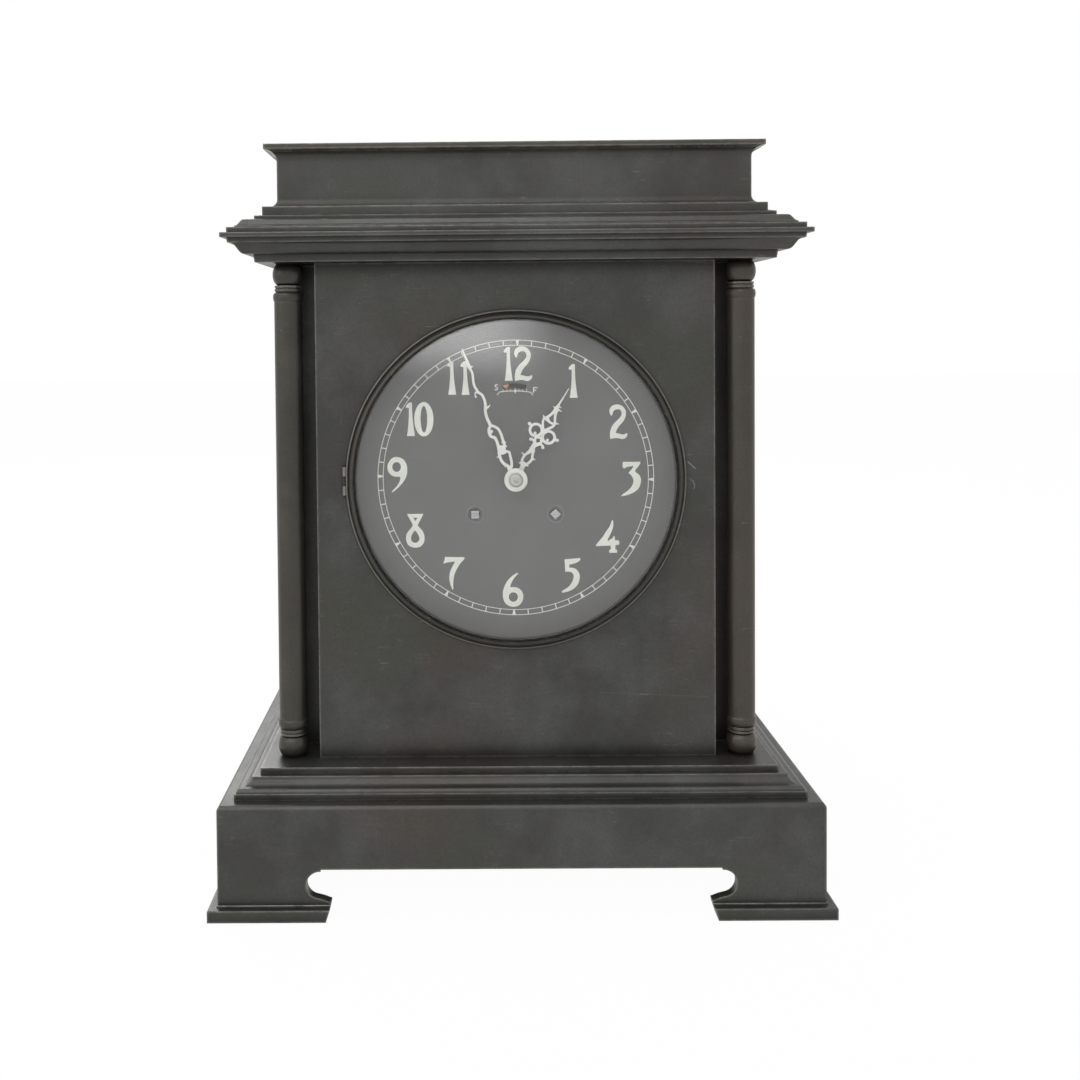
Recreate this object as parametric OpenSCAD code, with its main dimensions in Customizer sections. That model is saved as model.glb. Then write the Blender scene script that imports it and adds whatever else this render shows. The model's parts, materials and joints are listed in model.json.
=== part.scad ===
/* [Body] */
// Width of the body over its side walls
body_w = 215; // [195:1:258]
// Height of the body from the deck to the underside of the cornice
body_h = 234.8; // [195:0.2:282]
// Depth of the body from the face of the front panel to the back
body_d = 150; // [125:1:200]
// Thickness of the sheet walls
wall = 3; // [2:0.5:4]
// Thickness of the front panel
panel_t = 4; // [3:0.5:6]
// How far the front panel stops short of the body's side, for the corner that holds a column
corner_w = 13.5; // [13:0.1:16]
// Depth of the corner that holds a column
corner_d = 19.8; // [19.6:0.1:24]

/* [Columns] */
// Diameter of a column's shaft
shaft_d = 13.2; // [11:0.1:14]
// Largest diameter of the turned base and capital
bun_d = 14.4; // [13.6:0.1:19]
// Wall of the tubular shaft
shaft_wall = 1.5; // [1:0.25:3]
// Height of the bun at each end of a column
bun_h = 10.2; // [8:0.2:12]
// Height of the neck between bun and collar
neck_h = 3.4; // [2.6:0.1:4.4]
// Height of the rounded collar at each end of a column
collar_h = 4.4; // [4:0.2:8]
// Diameter of the tie rods
rod_d = 4; // [3:0.5:5]

/* [Base] */
// How far the base box stands out past the body
plinth_out = 29.9; // [26:0.1:40]
// Height of the base box to the top of its shoulder
plinth_h = 51.1; // [44:0.1:62]
// Radius of the shoulder round the top of the base box
shoulder_r = 2; // [1.5:0.5:5]
// Wall of the base box
plinth_wall = 5; // [4:0.5:6]
// Height of the opening between the feet
arch_h = 22.2; // [19:0.1:27]
// Width of one foot along the front
foot_w = 49; // [40:0.5:56]
// How far the foot moulding stands out past the base box
foot_out = 4.1; // [3.4:0.1:5]
// How far the step on the base box stands out past the body
step_out = 23.2; // [22.4:0.1:25]
// How far the deck plate stands out past the body
deck_out = 12.7; // [11:0.1:13.5]
// Height of the moulding between the base box and the deck plate
base_mould_h = 8.7; // [8.4:0.1:9.5]
// Thickness of the deck plate
deck_t = 2.7; // [2:0.1:4]

/* [Cornice] */
// How far the narrow bands above and below stand out past the body
band_out = 12.3; // [11:0.1:14]
// How far the cornice's rounded nose stands out past the body
nose_out = 25.7; // [25:0.1:30]
// Height of the cornice
cornice_h = 25.8; // [25.8:0.1:30]
// How far the block on top stands out past the body
block_out = 3; // [1:0.1:5]
// Height of the block on top
block_h = 26.6; // [22:0.1:32]
// How far the cap plate stands out past the body
cap_out = 8.4; // [7.4:0.1:11]
// Thickness of the cap plate
cap_t = 2.4; // [1.6:0.1:4]

/* [Dial] */
// Height of the dial's centre above the deck
dial_up = 132.1; // [118:0.1:145]
// Radius of the glass that shows inside the bezel
sight_r = 76; // [63.4:0.1:84]
// Width of the bezel from the glass to its outer edge
bezel_w = 4.2; // [3.6:0.1:6]
// Rise of the domed glass above its rim
glass_rise = 10.5; // [8:0.5:14]
// Thickness of the glass
glass_t = 1.8; // [1.2:0.1:2.4]
// How far the dial plate lies behind the face of the front panel
dial_back = 9; // [8.6:0.1:10]
// Thickness of the dial plate
dial_t = 1.2; // [0.8:0.1:1.6]
// Distance of each winding hole to the side of the dial's centre
wind_x = 19.2; // [19.2:0.1:22]
// Distance of the winding holes below the dial's centre
wind_z = 17.7; // [16:0.1:19]
// Radius of a winding hole
wind_r = 3.7; // [3.2:0.1:4.5]
// Side of the square on a winding arbor
wind_square = 3.6; // [3:0.1:4]
// Length of the minute hand from its centre to its tip
minute_len = 65.5; // [55:0.5:72]
// Length of the hour hand from its centre to its tip
hour_len = 49.5; // [42:0.5:58]

/* [Movement] */
// Width of the movement's plates
plate_w = 88; // [86:1:105]
// Height of the movement's plates above the dial's centre
plate_up = 46; // [45.5:0.5:55]
// Height of the movement's plates below the dial's centre
plate_down = 42; // [42:0.5:50]
// Thickness of the movement's plates
plate_t = 2.2; // [1.8:0.1:3]
// Space between the movement's plates
plate_gap = 34; // [34:0.5:40]
// Depth from the face of the front panel to the front plate
plate_back = 22; // [22:0.5:26]
// Size of the great wheels' teeth, as pitch diameter over tooth count
great_m = 0.5; // [0.42:0.01:0.5]
// Radial clearance of a pivot in its hole
pivot_gap = 0.04; // [0.02:0.01:0.08]
// Width of a coil of the mainsprings
spring_t = 0.5; // [0.4:0.05:0.6]

/* [Rear door] */
// Width of the opening in the back
door_w = 150; // [126:1:165]
// Height of the opening in the back
door_h = 196; // [160:1:206]
// Gap round the rear door
door_gap = 0.5; // [0.4:0.1:1]
// Thickness of the rear door
door_t = 2.5; // [2:0.1:3]
// Diameter of the rear door's knob
knob_d = 12; // [8:0.5:16]
// Length of the rear door's knob
knob_l = 9; // [7:0.5:12]

/* [Gong] */
// Outer radius of the gong's coil
gong_r = 44; // [36:1:50]
// Distance from one turn of the gong to the next
gong_pitch = 7; // [5.5:0.5:8]
// Number of turns of the gong
gong_turns = 4; // [3:1:5]

/* [Hidden] */
$fn = 64;

bronze = "#4b4742";
brass = "#c9a24a";
steel = "#8d9196";
silver = "#dcdcd2";

// Levels, up from the surface that the feet stand on
deck_z = plinth_h + base_mould_h + deck_t;
body_top = deck_z + body_h;
cornice_top = body_top + cornice_h;
block_top = cornice_top + block_h;
dial_z = deck_z + dial_up;
// Half the body's width is the reference that every moulding stands out from, at the front and at the sides
half_w = body_w / 2;
// Middle of the whole depth, which the origin lies under
front_edge = -(plinth_out + foot_out);
back_edge = body_d + knob_l + 1.2;
mid_y = (front_edge + back_edge) / 2;
big = 1000;

panel_half = half_w - corner_w;
column_x = half_w - 0.3;
column_y = 5.5;
plinth_half = half_w + plinth_out;
inner_half = half_w - wall;

// Points along an arc in a plane, with the centre and radius in millimetres
function arc(centre, r, from, to, steps = 8) = [for (i = [0:steps]) let(a = from + (to - from) * i / steps)
  centre + r * [cos(a), sin(a)]];

// Points along the S-shaped curve of a moulding from a to b, flattest at its two ends
function ogee(a, b, bend = 0.12, steps = 12) = [for (i = [0:steps]) let(t = i / steps)
  [a[0] + (b[0] - a[0]) * t, a[1] + (b[1] - a[1]) * (t - bend * sin(360 * t))]];

module place() {
  translate([0, -mid_y, 0]) children();
}

// A plate or wheel drawn as seen from the front, reaching from the depth y back through the thickness t
module dial_plate_at(y, t) {
  translate([0, y + t, dial_z]) rotate([90, 0, 0]) linear_extrude(t) children();
}

// A round rod along the depth at the dial coordinates at, from the depth y0 to y1
module rod_y(at, r, y0, y1) {
  translate([at[0], y1, dial_z + at[1]]) rotate([90, 0, 0]) cylinder(r = r, h = y1 - y0);
}

// A block with a moulded edge that is mitred round the front and sides and flat at the back.
// Each point of the outline is how far it stands out past the body, and its height.
module mitred(outline) {
  low = outline[0][1];
  high = outline[len(outline) - 1][1];
  right = [for (p = outline) [half_w + p[0], p[1]]];
  left = [for (i = [len(outline) - 1:-1:0]) [-half_w - outline[i][0], outline[i][1]]];
  front = [for (p = outline) [-p[0], p[1]]];
  intersection() {
    translate([0, body_d, 0]) rotate([90, 0, 0]) linear_extrude(body_d + big) polygon(concat(right, left));
    rotate([90, 0, 90]) linear_extrude(2 * big, center = true)
      polygon(concat([[body_d, low]], front, [[body_d, high]]));
  }
}

// A box between two corners
module block(a, b) {
  translate(a) cube(b - a);
}

// Places children on the four tie rods
module at_rods() {
  rear_x = inner_half - 8;
  for (p = [[-column_x, column_y], [column_x, column_y], [-rear_x, body_d - 14], [rear_x, body_d - 14]])
    translate([p[0], p[1], 0]) children();
}

// The base box

scroll_r = 6.1;
arch_half = half_w + plinth_out - foot_w;

// Outline of the gap between the feet, with a scroll bitten out of each foot above its pointed toe
function arch_outline(half) = let(
  top = arch_h,
  bite = [half + 2.7, top - 7],
  right = concat(
    [[half + 2.2, top]],
    arc(bite, scroll_r, 94, -80, 14),
    [[half + 1, top - 13.7], [half - 0.8, top - 14.4], [half - 2.4, top - 15]],
    [[half - 2.2, top - 16.5], [half, -1]]
  ),
  left = [for (i = [len(right) - 1:-1:0]) [-right[i][0], right[i][1]]]
) concat(right, left);

module front_arch() {
  rotate([90, 0, 0]) linear_extrude(2 * big, center = true) polygon(arch_outline(arch_half));
}

side_mid = (body_d - plinth_out) / 2;
side_arch_half = (body_d + plinth_out) / 2 - foot_w * 0.72;

module side_arch() {
  translate([0, side_mid, 0]) rotate([90, 0, 90]) linear_extrude(2 * big, center = true)
    polygon(arch_outline(side_arch_half));
}

plinth_outline = concat(
  [[plinth_out, 0]],
  arc([plinth_out - shoulder_r, plinth_h - shoulder_r], shoulder_r, 0, 90)
);

module plinth() {
  color(bronze) place() difference() {
    mitred(plinth_outline);
    block(
      [-plinth_half + plinth_wall, -plinth_out + plinth_wall, -1],
      [plinth_half - plinth_wall, body_d - plinth_wall, plinth_h - plinth_wall]
    );
    front_arch();
    side_arch();
    at_rods() cylinder(d = rod_d + 0.4, h = big);
  }
}

foot_h = 6.25;

foot_outline = concat(
  [[plinth_out, 0], [plinth_out + foot_out, 0], [plinth_out + foot_out, 5.1]],
  [[plinth_out + foot_out - 0.3, 5.4]],
  arc([plinth_out + 0.1, foot_h - 0.4], 0.4, -60, 90, 5),
  [[plinth_out, foot_h]]
);

// The moulding round all the feet, before it is parted into corners
module foot_mouldings() {
  difference() {
    mitred(concat([[0, 0]], [for (i = [1:len(foot_outline) - 1]) foot_outline[i]], [[0, foot_h]]));
    mitred([[plinth_out, -1], [plinth_out, 20]]);
    front_arch();
    side_arch();
  }
}

module foot_corner(from, to) {
  color(bronze) place() intersection() {
    foot_mouldings();
    block(from, to);
  }
}

module foot_front_left() {
  foot_corner([-big, -big, -1], [0, side_mid, big]);
}

module foot_front_right() {
  foot_corner([0, -big, -1], [big, side_mid, big]);
}

module feet_back() {
  foot_corner([-big, side_mid, -1], [big, big, big]);
}

step_h = 3.2;
step_top = plinth_h + step_h;
base_ovolo_r = 1.7;
base_cavetto_r = base_mould_h - step_h - base_ovolo_r;

base_outline = concat(
  [[step_out, plinth_h], [step_out, step_top - 0.1]],
  arc([step_out - 0.7 - base_ovolo_r, step_top], base_ovolo_r, 0, 90),
  arc([deck_out + 3.4 + base_cavetto_r, plinth_h + base_mould_h], base_cavetto_r, 270, 180),
  [[deck_out, plinth_h + base_mould_h]]
);

module base_moulding() {
  color(bronze) place() difference() {
    mitred(base_outline);
    block([-panel_half + 4, corner_d + 8, 0], [panel_half - 4, body_d - 26, big]);
    at_rods() cylinder(d = rod_d + 0.4, h = big);
  }
}

module deck_plate() {
  color(bronze) place() difference() {
    mitred([[deck_out, plinth_h + base_mould_h], [deck_out, deck_z]]);
    at_rods() cylinder(d = rod_d + 0.4, h = big);
  }
}

// The body

opening_r = sight_r + 1.6;
// The bezel's hinge is a slim one, close against the bezel's edge
hinge_x = -(sight_r + bezel_w + 0.65);
hinge_y = -1.15;
knuckle_r = 0.95;
knuckle_l = 4.4;
knuckle_gap = 0.15;
pin_r = 0.4;
tongue_t = 0.8;
tongue_h = 4;

module front_panel() {
  color(bronze) place() difference() {
    block([-panel_half, 0, deck_z], [panel_half, panel_t, body_top]);
    rod_y([0, 0], opening_r, -1, panel_t + 1);
    block(
      [hinge_x - tongue_t / 2 - 0.1, -1, dial_z - tongue_h / 2 - 0.1],
      [hinge_x + tongue_t / 2 + 0.1, panel_t + 1, dial_z + tongue_h / 2 + 0.1]
    );
  }
}

// Plan of the right side wall, folded round the corner that holds the column
wall_plan = [
  [panel_half, panel_t], [panel_half, corner_d], [half_w, corner_d], [half_w, body_d],
  [half_w - wall, body_d], [half_w - wall, corner_d + wall],
  [panel_half - wall, corner_d + wall], [panel_half - wall, panel_t]
];

module side_wall_right() {
  color(bronze) place() translate([0, 0, deck_z]) linear_extrude(body_h) polygon(wall_plan);
}

module side_wall_left() {
  color(bronze) place() translate([0, 0, deck_z]) mirror([1, 0, 0]) linear_extrude(body_h) polygon(wall_plan);
}

door_mid = deck_z + body_h / 2;

module back_panel() {
  color(bronze) place() difference() {
    block([-inner_half, body_d - wall, deck_z], [inner_half, body_d, body_top]);
    block(
      [-door_w / 2, body_d - wall - 1, door_mid - door_h / 2],
      [door_w / 2, body_d + 1, door_mid + door_h / 2]
    );
  }
}

// Half outline of a column's end, from the plate it stands on up into the foot of its shaft
end_h = bun_h + neck_h + collar_h;
bun_r = bun_d / 2;
shaft_r = shaft_d / 2;

module column_end() {
  neck_r = bun_r - 0.9;
  waist_r = bun_r - 2.9;
  rod_hole = rod_d / 2 + 0.2;
  bun = [for (i = [0:12]) let(a = -65 + 145 * i / 12)
    [waist_r + (bun_r - waist_r) * cos(a), bun_h * (0.5 + 0.5 * sin(a) / sin(80))]];
  neck = [
    [neck_r, bun_h + 0.1], [neck_r, bun_h + 1.1], [neck_r - 0.5, bun_h + 1.2], [neck_r - 0.5, bun_h + 1.5],
    [neck_r, bun_h + 1.6], [neck_r, bun_h + neck_h - 0.5], [neck_r - 0.5, bun_h + neck_h - 0.4],
    [neck_r - 0.5, bun_h + neck_h]
  ];
  collar_mid = bun_h + neck_h + collar_h / 2;
  collar = [for (i = [0:8]) let(a = -80 + 160 * i / 8)
    [shaft_r - 0.3 + (bun_r - shaft_r + 0.2) * cos(a), collar_mid + collar_h / 2 * sin(a) / sin(80)]];
  rotate_extrude() polygon(concat(
    [[rod_hole, 0], [bun[0][0], 0]], [for (i = [1:12]) bun[i]], neck, collar, [[rod_hole, end_h]]
  ));
}

module column() {
  translate([0, 0, deck_z]) column_end();
  translate([0, 0, body_top]) mirror([0, 0, 1]) column_end();
  translate([0, 0, deck_z + end_h]) difference() {
    cylinder(r = shaft_r, h = body_h - 2 * end_h);
    translate([0, 0, -1]) cylinder(r = shaft_r - shaft_wall, h = body_h);
  }
}

module column_left() {
  color(bronze) place() translate([-column_x, column_y, 0]) column();
}

module column_right() {
  color(bronze) place() translate([column_x, column_y, 0]) column();
}

nut_h = 3;
cornice_floor = 4;

// Four rods that hold the case together, each with a nut at both ends
module tie_rods() {
  low = plinth_h - plinth_wall;
  high = body_top + cornice_floor;
  color(steel) place() at_rods() {
    translate([0, 0, low - nut_h - 1]) cylinder(d = rod_d, h = high - low + 2 * nut_h + 2);
    for (z = [low - nut_h, high]) translate([0, 0, z]) cylinder(r = rod_d * 0.95, h = nut_h, $fn = 6);
  }
}

// The cornice, block and cap

under_z = body_top + 8.4;
over_z = under_z + 6.9;
nose_low = under_z + 2.2;
nose_high = under_z + 4.4;
ledge_out = nose_out - 2.6;
step_two_top = over_z + 6.1;
step_one_out = band_out - 3.2;

cornice_outline = concat(
  [[band_out, body_top], [band_out + 0.5, body_top + 3.4]],
  ogee([band_out + 4, body_top + 3.5], [ledge_out - 1.3, under_z]),
  [[ledge_out - 0.3, under_z], [ledge_out, nose_low]],
  [[nose_out - 0.25, nose_low], [nose_out, nose_low + 0.25]],
  [[nose_out, nose_high - 0.25], [nose_out - 0.25, nose_high]],
  [[ledge_out, nose_high], [ledge_out, over_z], [band_out + 7.8, over_z]],
  ogee([band_out + 7.7, over_z + 0.9], [band_out + 3.9, over_z + 4.1]),
  [[band_out, over_z + 4.5], [band_out, step_two_top]],
  [[step_one_out, step_two_top + 0.8], [step_one_out, cornice_top]]
);

module cornice() {
  lip = 4.6;
  color(bronze) place() difference() {
    mitred(cornice_outline);
    block(
      [-half_w - step_one_out + lip, -step_one_out + lip, body_top + cornice_floor],
      [half_w + step_one_out - lip, body_d - lip, big]
    );
    at_rods() cylinder(d = rod_d + 0.4, h = big);
  }
}

block_cove_r = 3.8;
cap_cove_r = min(4.8, cap_out - block_out - 0.4);

block_outline = concat(
  arc([block_out + block_cove_r, cornice_top + block_cove_r], block_cove_r, 270, 180),
  arc([block_out + cap_cove_r, block_top - cap_cove_r], cap_cove_r, 180, 90)
);

module top_block() {
  color(bronze) place() difference() {
    mitred(block_outline);
    block(
      [-half_w + wall, -block_out + wall + 1, 0],
      [half_w - wall, body_d - wall, block_top - wall]
    );
  }
}

module top_cap() {
  color(bronze) place() mitred([[cap_out, block_top], [cap_out, block_top + cap_t]]);
}

// The bezel and its glass

rebate_r = sight_r + 1;
glass_rim_r = rebate_r - 0.1;
bezel_r = sight_r + bezel_w;
glass_rim_y = -3.5;
crest = 5.4;
// The glass is cut from a thin ball of this radius
dome_r = (glass_rim_r * glass_rim_r + glass_rise * glass_rise) / (2 * glass_rise);
dome_y = glass_rim_y - glass_rise + dome_r;

// A ring about the dial's centre from points of radius and depth
module dial_ring(points) {
  translate([0, 0, dial_z]) rotate([-90, 0, 0]) rotate_extrude($fn = 128) polygon(points);
}

bead_r = 0.7;
bezel_round_r = bezel_w - 1.6;

// A bead round the outside, then a groove and a quarter round that rises to the glass, with two knuckles
module bezel_ring() {
  color(bronze) place() difference() {
    union() {
      dial_ring(concat(
        [[rebate_r, 0], [bezel_r, 0]],
        arc([bezel_r - bead_r, -1.5], bead_r, 0, -150, 6),
        arc([sight_r + 0.1, bezel_round_r - crest], bezel_round_r, 0, -85, 6),
        [[sight_r, -crest + 0.6], [sight_r, -3.9], [rebate_r, -3.9]]
      ));
      for (side = [-1, 1])
        translate([hinge_x, hinge_y, dial_z + side * (knuckle_l + knuckle_gap) - knuckle_l / 2]) {
          cylinder(r = knuckle_r, h = knuckle_l);
          translate([0, -0.6, 0]) cube([1.6, 1.1, knuckle_l]);
        }
    }
    translate([hinge_x, hinge_y, dial_z]) {
      cylinder(r = pin_r + 0.05, h = 4 * knuckle_l, center = true);
      cylinder(r = knuckle_r + knuckle_gap, h = knuckle_l + 2 * knuckle_gap, center = true);
    }
  }
}

module bezel_glass() {
  color("#e8eef0", 0.3) place() intersection() {
    difference() {
      translate([0, dome_y, dial_z]) sphere(r = dome_r, $fn = 128);
      translate([0, dome_y, dial_z]) sphere(r = dome_r - glass_t, $fn = 128);
    }
    rod_y([0, 0], glass_rim_r, glass_rim_y - glass_rise - 1, 0);
  }
}

module glass_retainer() {
  color("#1d1d1b") place() dial_ring([
    [sight_r - 0.7, -1.3], [rebate_r, -1.3], [rebate_r, 2.6], [sight_r + 0.3, 2.6], [sight_r - 0.7, 1.4]
  ]);
}

// The fixed leaf behind the panel, its tongue through the slot, the middle knuckle and the pin
module bezel_hinge() {
  color(bronze) place() translate([hinge_x, 0, dial_z]) {
    difference() {
      union() {
        translate([0, hinge_y, 0]) cylinder(r = knuckle_r, h = knuckle_l, center = true);
        block([-tongue_t / 2, hinge_y, -tongue_h / 2], [tongue_t / 2, panel_t + 0.8, tongue_h / 2]);
        block([-8, panel_t, -tongue_h], [tongue_t / 2, panel_t + 0.8, tongue_h]);
      }
      translate([0, hinge_y, 0]) cylinder(r = pin_r, h = big, center = true);
    }
    translate([0, hinge_y, 0]) cylinder(r = pin_r, h = 3 * knuckle_l + 1, center = true);
  }
}

// The rear door and its hinge

door_axis_x = -door_w / 2 - 1.5;
door_axis_y = body_d + 1.8;
door_knuckle_r = 1.7;
door_knuckle_l = 8;
door_pin_r = 0.9;
leaf_t = 0.8;
leaf_w = 11;

module at_rear_hinges() {
  for (z = [door_mid - door_h / 3, door_mid + door_h / 3])
    translate([door_axis_x, door_axis_y, z]) children();
}

module rear_door() {
  color(brass) place() {
    block(
      [-door_w / 2 + door_gap, body_d - door_t, door_mid - door_h / 2 + door_gap],
      [door_w / 2 - door_gap, body_d, door_mid + door_h / 2 - door_gap]
    );
    at_rear_hinges() difference() {
      union() {
        cylinder(r = door_knuckle_r, h = door_knuckle_l - 0.2, center = true);
        block([0, -1.8, 0.1 - door_knuckle_l / 2], [leaf_w + 1.5, leaf_t - 1.8, door_knuckle_l / 2 - 0.1]);
      }
      cylinder(r = door_pin_r + 0.05, h = big, center = true);
    }
  }
}

module rear_door_knob() {
  color(brass) place() translate([door_w / 2 - 12, body_d, door_mid]) rotate([-90, 0, 0]) rotate_extrude()
    polygon(concat(
      [[0, 0], [knob_d * 0.28, 0], [knob_d * 0.2, 1.5], [knob_d * 0.2, knob_l - 5]],
      arc([knob_d / 2 - 2, knob_l - 1.8], 2, -60, 60, 6),
      [[knob_d * 0.3, knob_l + 0.9], [0, knob_l + 1.2]]
    ));
}

// The fixed leaves, with two knuckles each, and the pins
module rear_hinge() {
  color(brass) place() at_rear_hinges() {
    for (side = [-1, 1]) {
      mid = side * door_knuckle_l * 0.75;
      difference() {
        union() {
          translate([0, 0, mid]) cylinder(r = door_knuckle_r, h = door_knuckle_l / 2, center = true);
          block(
            [-leaf_w - 1.5, -1.8, mid - door_knuckle_l / 4],
            [0, -1.8 + leaf_t, mid + door_knuckle_l / 4]
          );
        }
        cylinder(r = door_pin_r, h = big, center = true);
      }
    }
    cylinder(r = door_pin_r, h = door_knuckle_l * 2, center = true);
  }
}

// The dial and hands

seat_r = opening_r + 6.4;
// Where the winding arbors, the regulator and the slot for its tip lie, from the dial's centre
time_at = [wind_x, -wind_z];
strike_at = [-wind_x, -wind_z];
balance_at = [0, 27.5];
index_r = 16.3;
index_turn = 14;

module movement_seat() {
  color(brass) place() difference() {
    rod_y([0, 0], seat_r, panel_t, dial_back);
    rod_y([0, 0], opening_r, 0, big);
    block([hinge_x - big, 0, dial_z - 5], [hinge_x + 1.5, panel_t + 1.2, dial_z + 5]);
  }
}

module sector(r, from, to) {
  polygon(concat([[0, 0]], arc([0, 0], r, from, to, 6)));
}

module dial_plate() {
  color("#4a4a47") place() {
    dial_plate_at(dial_back, dial_t) difference() {
      circle(r = seat_r - 0.5, $fn = 128);
      circle(r = 3.2);
      for (at = [time_at, strike_at]) translate(at) circle(r = wind_r);
      translate(balance_at) intersection() {
        difference() {
          circle(r = index_r + 1.3);
          circle(r = index_r - 1.3);
        }
        sector(2 * index_r, 70, 110);
      }
    }
    for (at = dial_feet) rod_y(at, 2.2, dial_back + dial_t, plate_back);
  }
}

dial_feet = [[-40.5, 12], [40.5, 12], [-33, -36], [33, -36]];

// Half the width of a rococo hand along its length, from a list of places and half widths
function width_at(table, t, i = 0) =
  t <= table[i + 1][0] || i + 2 >= len(table)
    ? table[i][1] + (table[i + 1][1] - table[i][1]) * (t - table[i][0]) / (table[i + 1][0] - table[i][0])
    : width_at(table, t, i + 1);

// A blade whose middle line swings from side to side and dies out toward its tip
module serpentine(table, sway, waves, steps = 36) {
  start = table[0][0];
  end = table[len(table) - 1][0];
  line = [for (i = [0:steps]) let(t = start + (end - start) * i / steps)
    [sway * sin(360 * waves * i / steps) * (1 - i / steps), t, width_at(table, t)]];
  polygon(concat(
    [for (p = line) [p[0] + p[2], p[1]]],
    [for (i = [steps:-1:0]) [line[i][0] - line[i][2], line[i][1]]]
  ));
}

// A ring with a round hole
module ring2d(r_out, r_in) {
  difference() {
    circle(r = r_out);
    circle(r = r_in);
  }
}

hour_turn = -31.5;
minute_turn = 22.2;
hour_hand_y = 2.2;
minute_hand_y = -1.4;
hand_t = 0.9;
pipe_r = 2.6;
pipe_bore = 1.75;
cannon_r = 1.65;
centre_r = 1;

module hour_hand() {
  tail = hour_len * 0.14;
  color(silver) place() dial_plate_at(hour_hand_y, hand_t) rotate(hour_turn) difference() {
    union() {
      circle(r = 5.2);
      translate([0, 9.5]) ring2d(5, 2.8);
      translate([-5.2, 20]) ring2d(4.6, 2.9);
      translate([5.2, 20]) ring2d(4.6, 2.9);
      translate([0, 4.5]) square([2.4, 1.6], center = true);
      translate([-1.4, 13.5]) square([2.8, 6]);
      difference() {
        serpentine([[18, 1.4], [24, 2.6], [30, 3.4], [36, 1.4], [hour_len, 0.3]], 0.5, 1);
        translate([0, 28]) circle(r = 1.4);
      }
      for (side = [-1, 1]) translate([side * 3.4, 27]) rotate(side * 40) ring2d(3, 1.7);
      translate([0, -tail]) circle(r = 2);
      translate([-0.9, -tail]) square([1.8, tail]);
    }
    circle(r = pipe_r - 0.28);
  }
}

module minute_hand() {
  // A smaller glass takes a shorter hand
  tip = min(minute_len, sight_r - 5);
  tail = minute_len * 0.12;
  blade = [[12, 2.2], [18, 1.5], [26, 2.6], [34, 1.4], [44, 1.8], [54, 0.9], [tip, 0.25]];
  color(silver) place() {
    dial_plate_at(minute_hand_y, hand_t) rotate(minute_turn) difference() {
      union() {
        circle(r = 4.6);
        translate([0, 8.6]) ring2d(4.4, 2.5);
        serpentine(blade, 1.6, 1.5);
        for (side = [-1, 1]) translate([side * 3.2, 15]) ring2d(2.8, 1.6);
        translate([1.8, 24]) rotate(-35) ring2d(2.4, 1.3);
        translate([-1.6, 36]) ring2d(2, 1.1);
        translate([0, -tail]) circle(r = 1.9);
        translate([-0.8, -tail]) square([1.6, tail]);
      }
      circle(r = centre_r + 0.3);
    }
    // The round cap over the hub, pinned to the end of the cannon
    translate([0, minute_hand_y, dial_z]) rotate([90, 0, 0]) rotate_extrude() polygon(concat(
      [[centre_r + 0.05, 0], [centre_r + 0.4, -0.2], [4, -0.2], [4.2, 0]],
      [[5.5, 0], [5.5, 0.6], [4.6, 0.9], [3.2, 0.9]],
      arc([1.4, 0.9], 1.8, 0, 80, 5),
      [[centre_r + 0.05, 2.7]]
    ));
  }
}

// Toothed wheels

// Outline of a wheel or pinion: pitch radius, tooth count, share of the pitch that a tooth takes,
// height of the tooth above the pitch circle and its depth below it
function teeth(r, n, share, up, down) = [for (i = [0:n - 1]) let(mid = 360 * i / n, half = 180 / n * share)
  each [
    (r - down) * [cos(mid - half), sin(mid - half)],
    r * [cos(mid - half), sin(mid - half)],
    (r + up) * [cos(mid - half * 0.3), sin(mid - half * 0.3)],
    (r + up) * [cos(mid + half * 0.3), sin(mid + half * 0.3)],
    r * [cos(mid + half), sin(mid + half)],
    (r - down) * [cos(mid + half), sin(mid + half)]
  ]];

module wheel_outline(m, n) {
  polygon(teeth(m * n / 2, n, 0.44, 0.95 * m, 1.25 * m));
}

module pinion_outline(m, n) {
  polygon(teeth(m * n / 2, n, 0.34, 0.75 * m, 1.45 * m));
}

// Gap between an arbor and what is pressed onto it
part_gap = 0.02;

// Points of a regular outline with flat sides, which just clears a circle of radius r inside it
function around(r, n = 12) = [for (i = [0:n - 1]) r / cos(180 / n) * [cos(360 * i / n), sin(360 * i / n)]];

// Cuts the crossings out of a wheel, leaving arms between the hub and the rim
module crossings(hub, rim, arms, arm_w) {
  difference() {
    polygon(arc([0, 0], rim, 0, 354, 59));
    polygon(arc([0, 0], hub, 0, 345, 23));
    for (i = [0:arms - 1]) rotate(360 * i / arms) translate([0, -arm_w / 2]) square([big, arm_w]);
  }
}

// A crossed-out wheel with a flat-sided hole for its arbor
module train_wheel(at, m, n, y, t, arms, bore) {
  rim = m * n / 2 - 1.25 * m - 1.1;
  color(brass) dial_plate_at(y, t) translate(at) difference() {
    wheel_outline(m, n);
    crossings(bore + 1.3, rim, arms, 1.2);
    polygon(around(bore + part_gap));
  }
}

module train_pinion(at, m, n, y, t, turn) {
  color(steel) dial_plate_at(y, t) translate(at) rotate(turn) pinion_outline(m, n);
}

// Depths of the movement, from the inner faces of its plates
front_in = plate_back + plate_t;
back_in = front_in + plate_gap;
back_out = back_in + plate_t;
pivot_r = 0.6;
big_pivot_r = 1.5;

// An arbor between the plates with a thinner pivot in each, on both sides of a pinion from y to y + t
module arbor(at, r, y, t) {
  color(steel) {
    rod_y(at, pivot_r, front_in - plate_t + 0.1, front_in + 0.3);
    rod_y(at, pivot_r, back_in - 0.3, back_in + plate_t - 0.1);
    rod_y(at, r, front_in + 0.3, y - part_gap);
    rod_y(at, r, y + t + part_gap, back_in - 0.3);
  }
}

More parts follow.
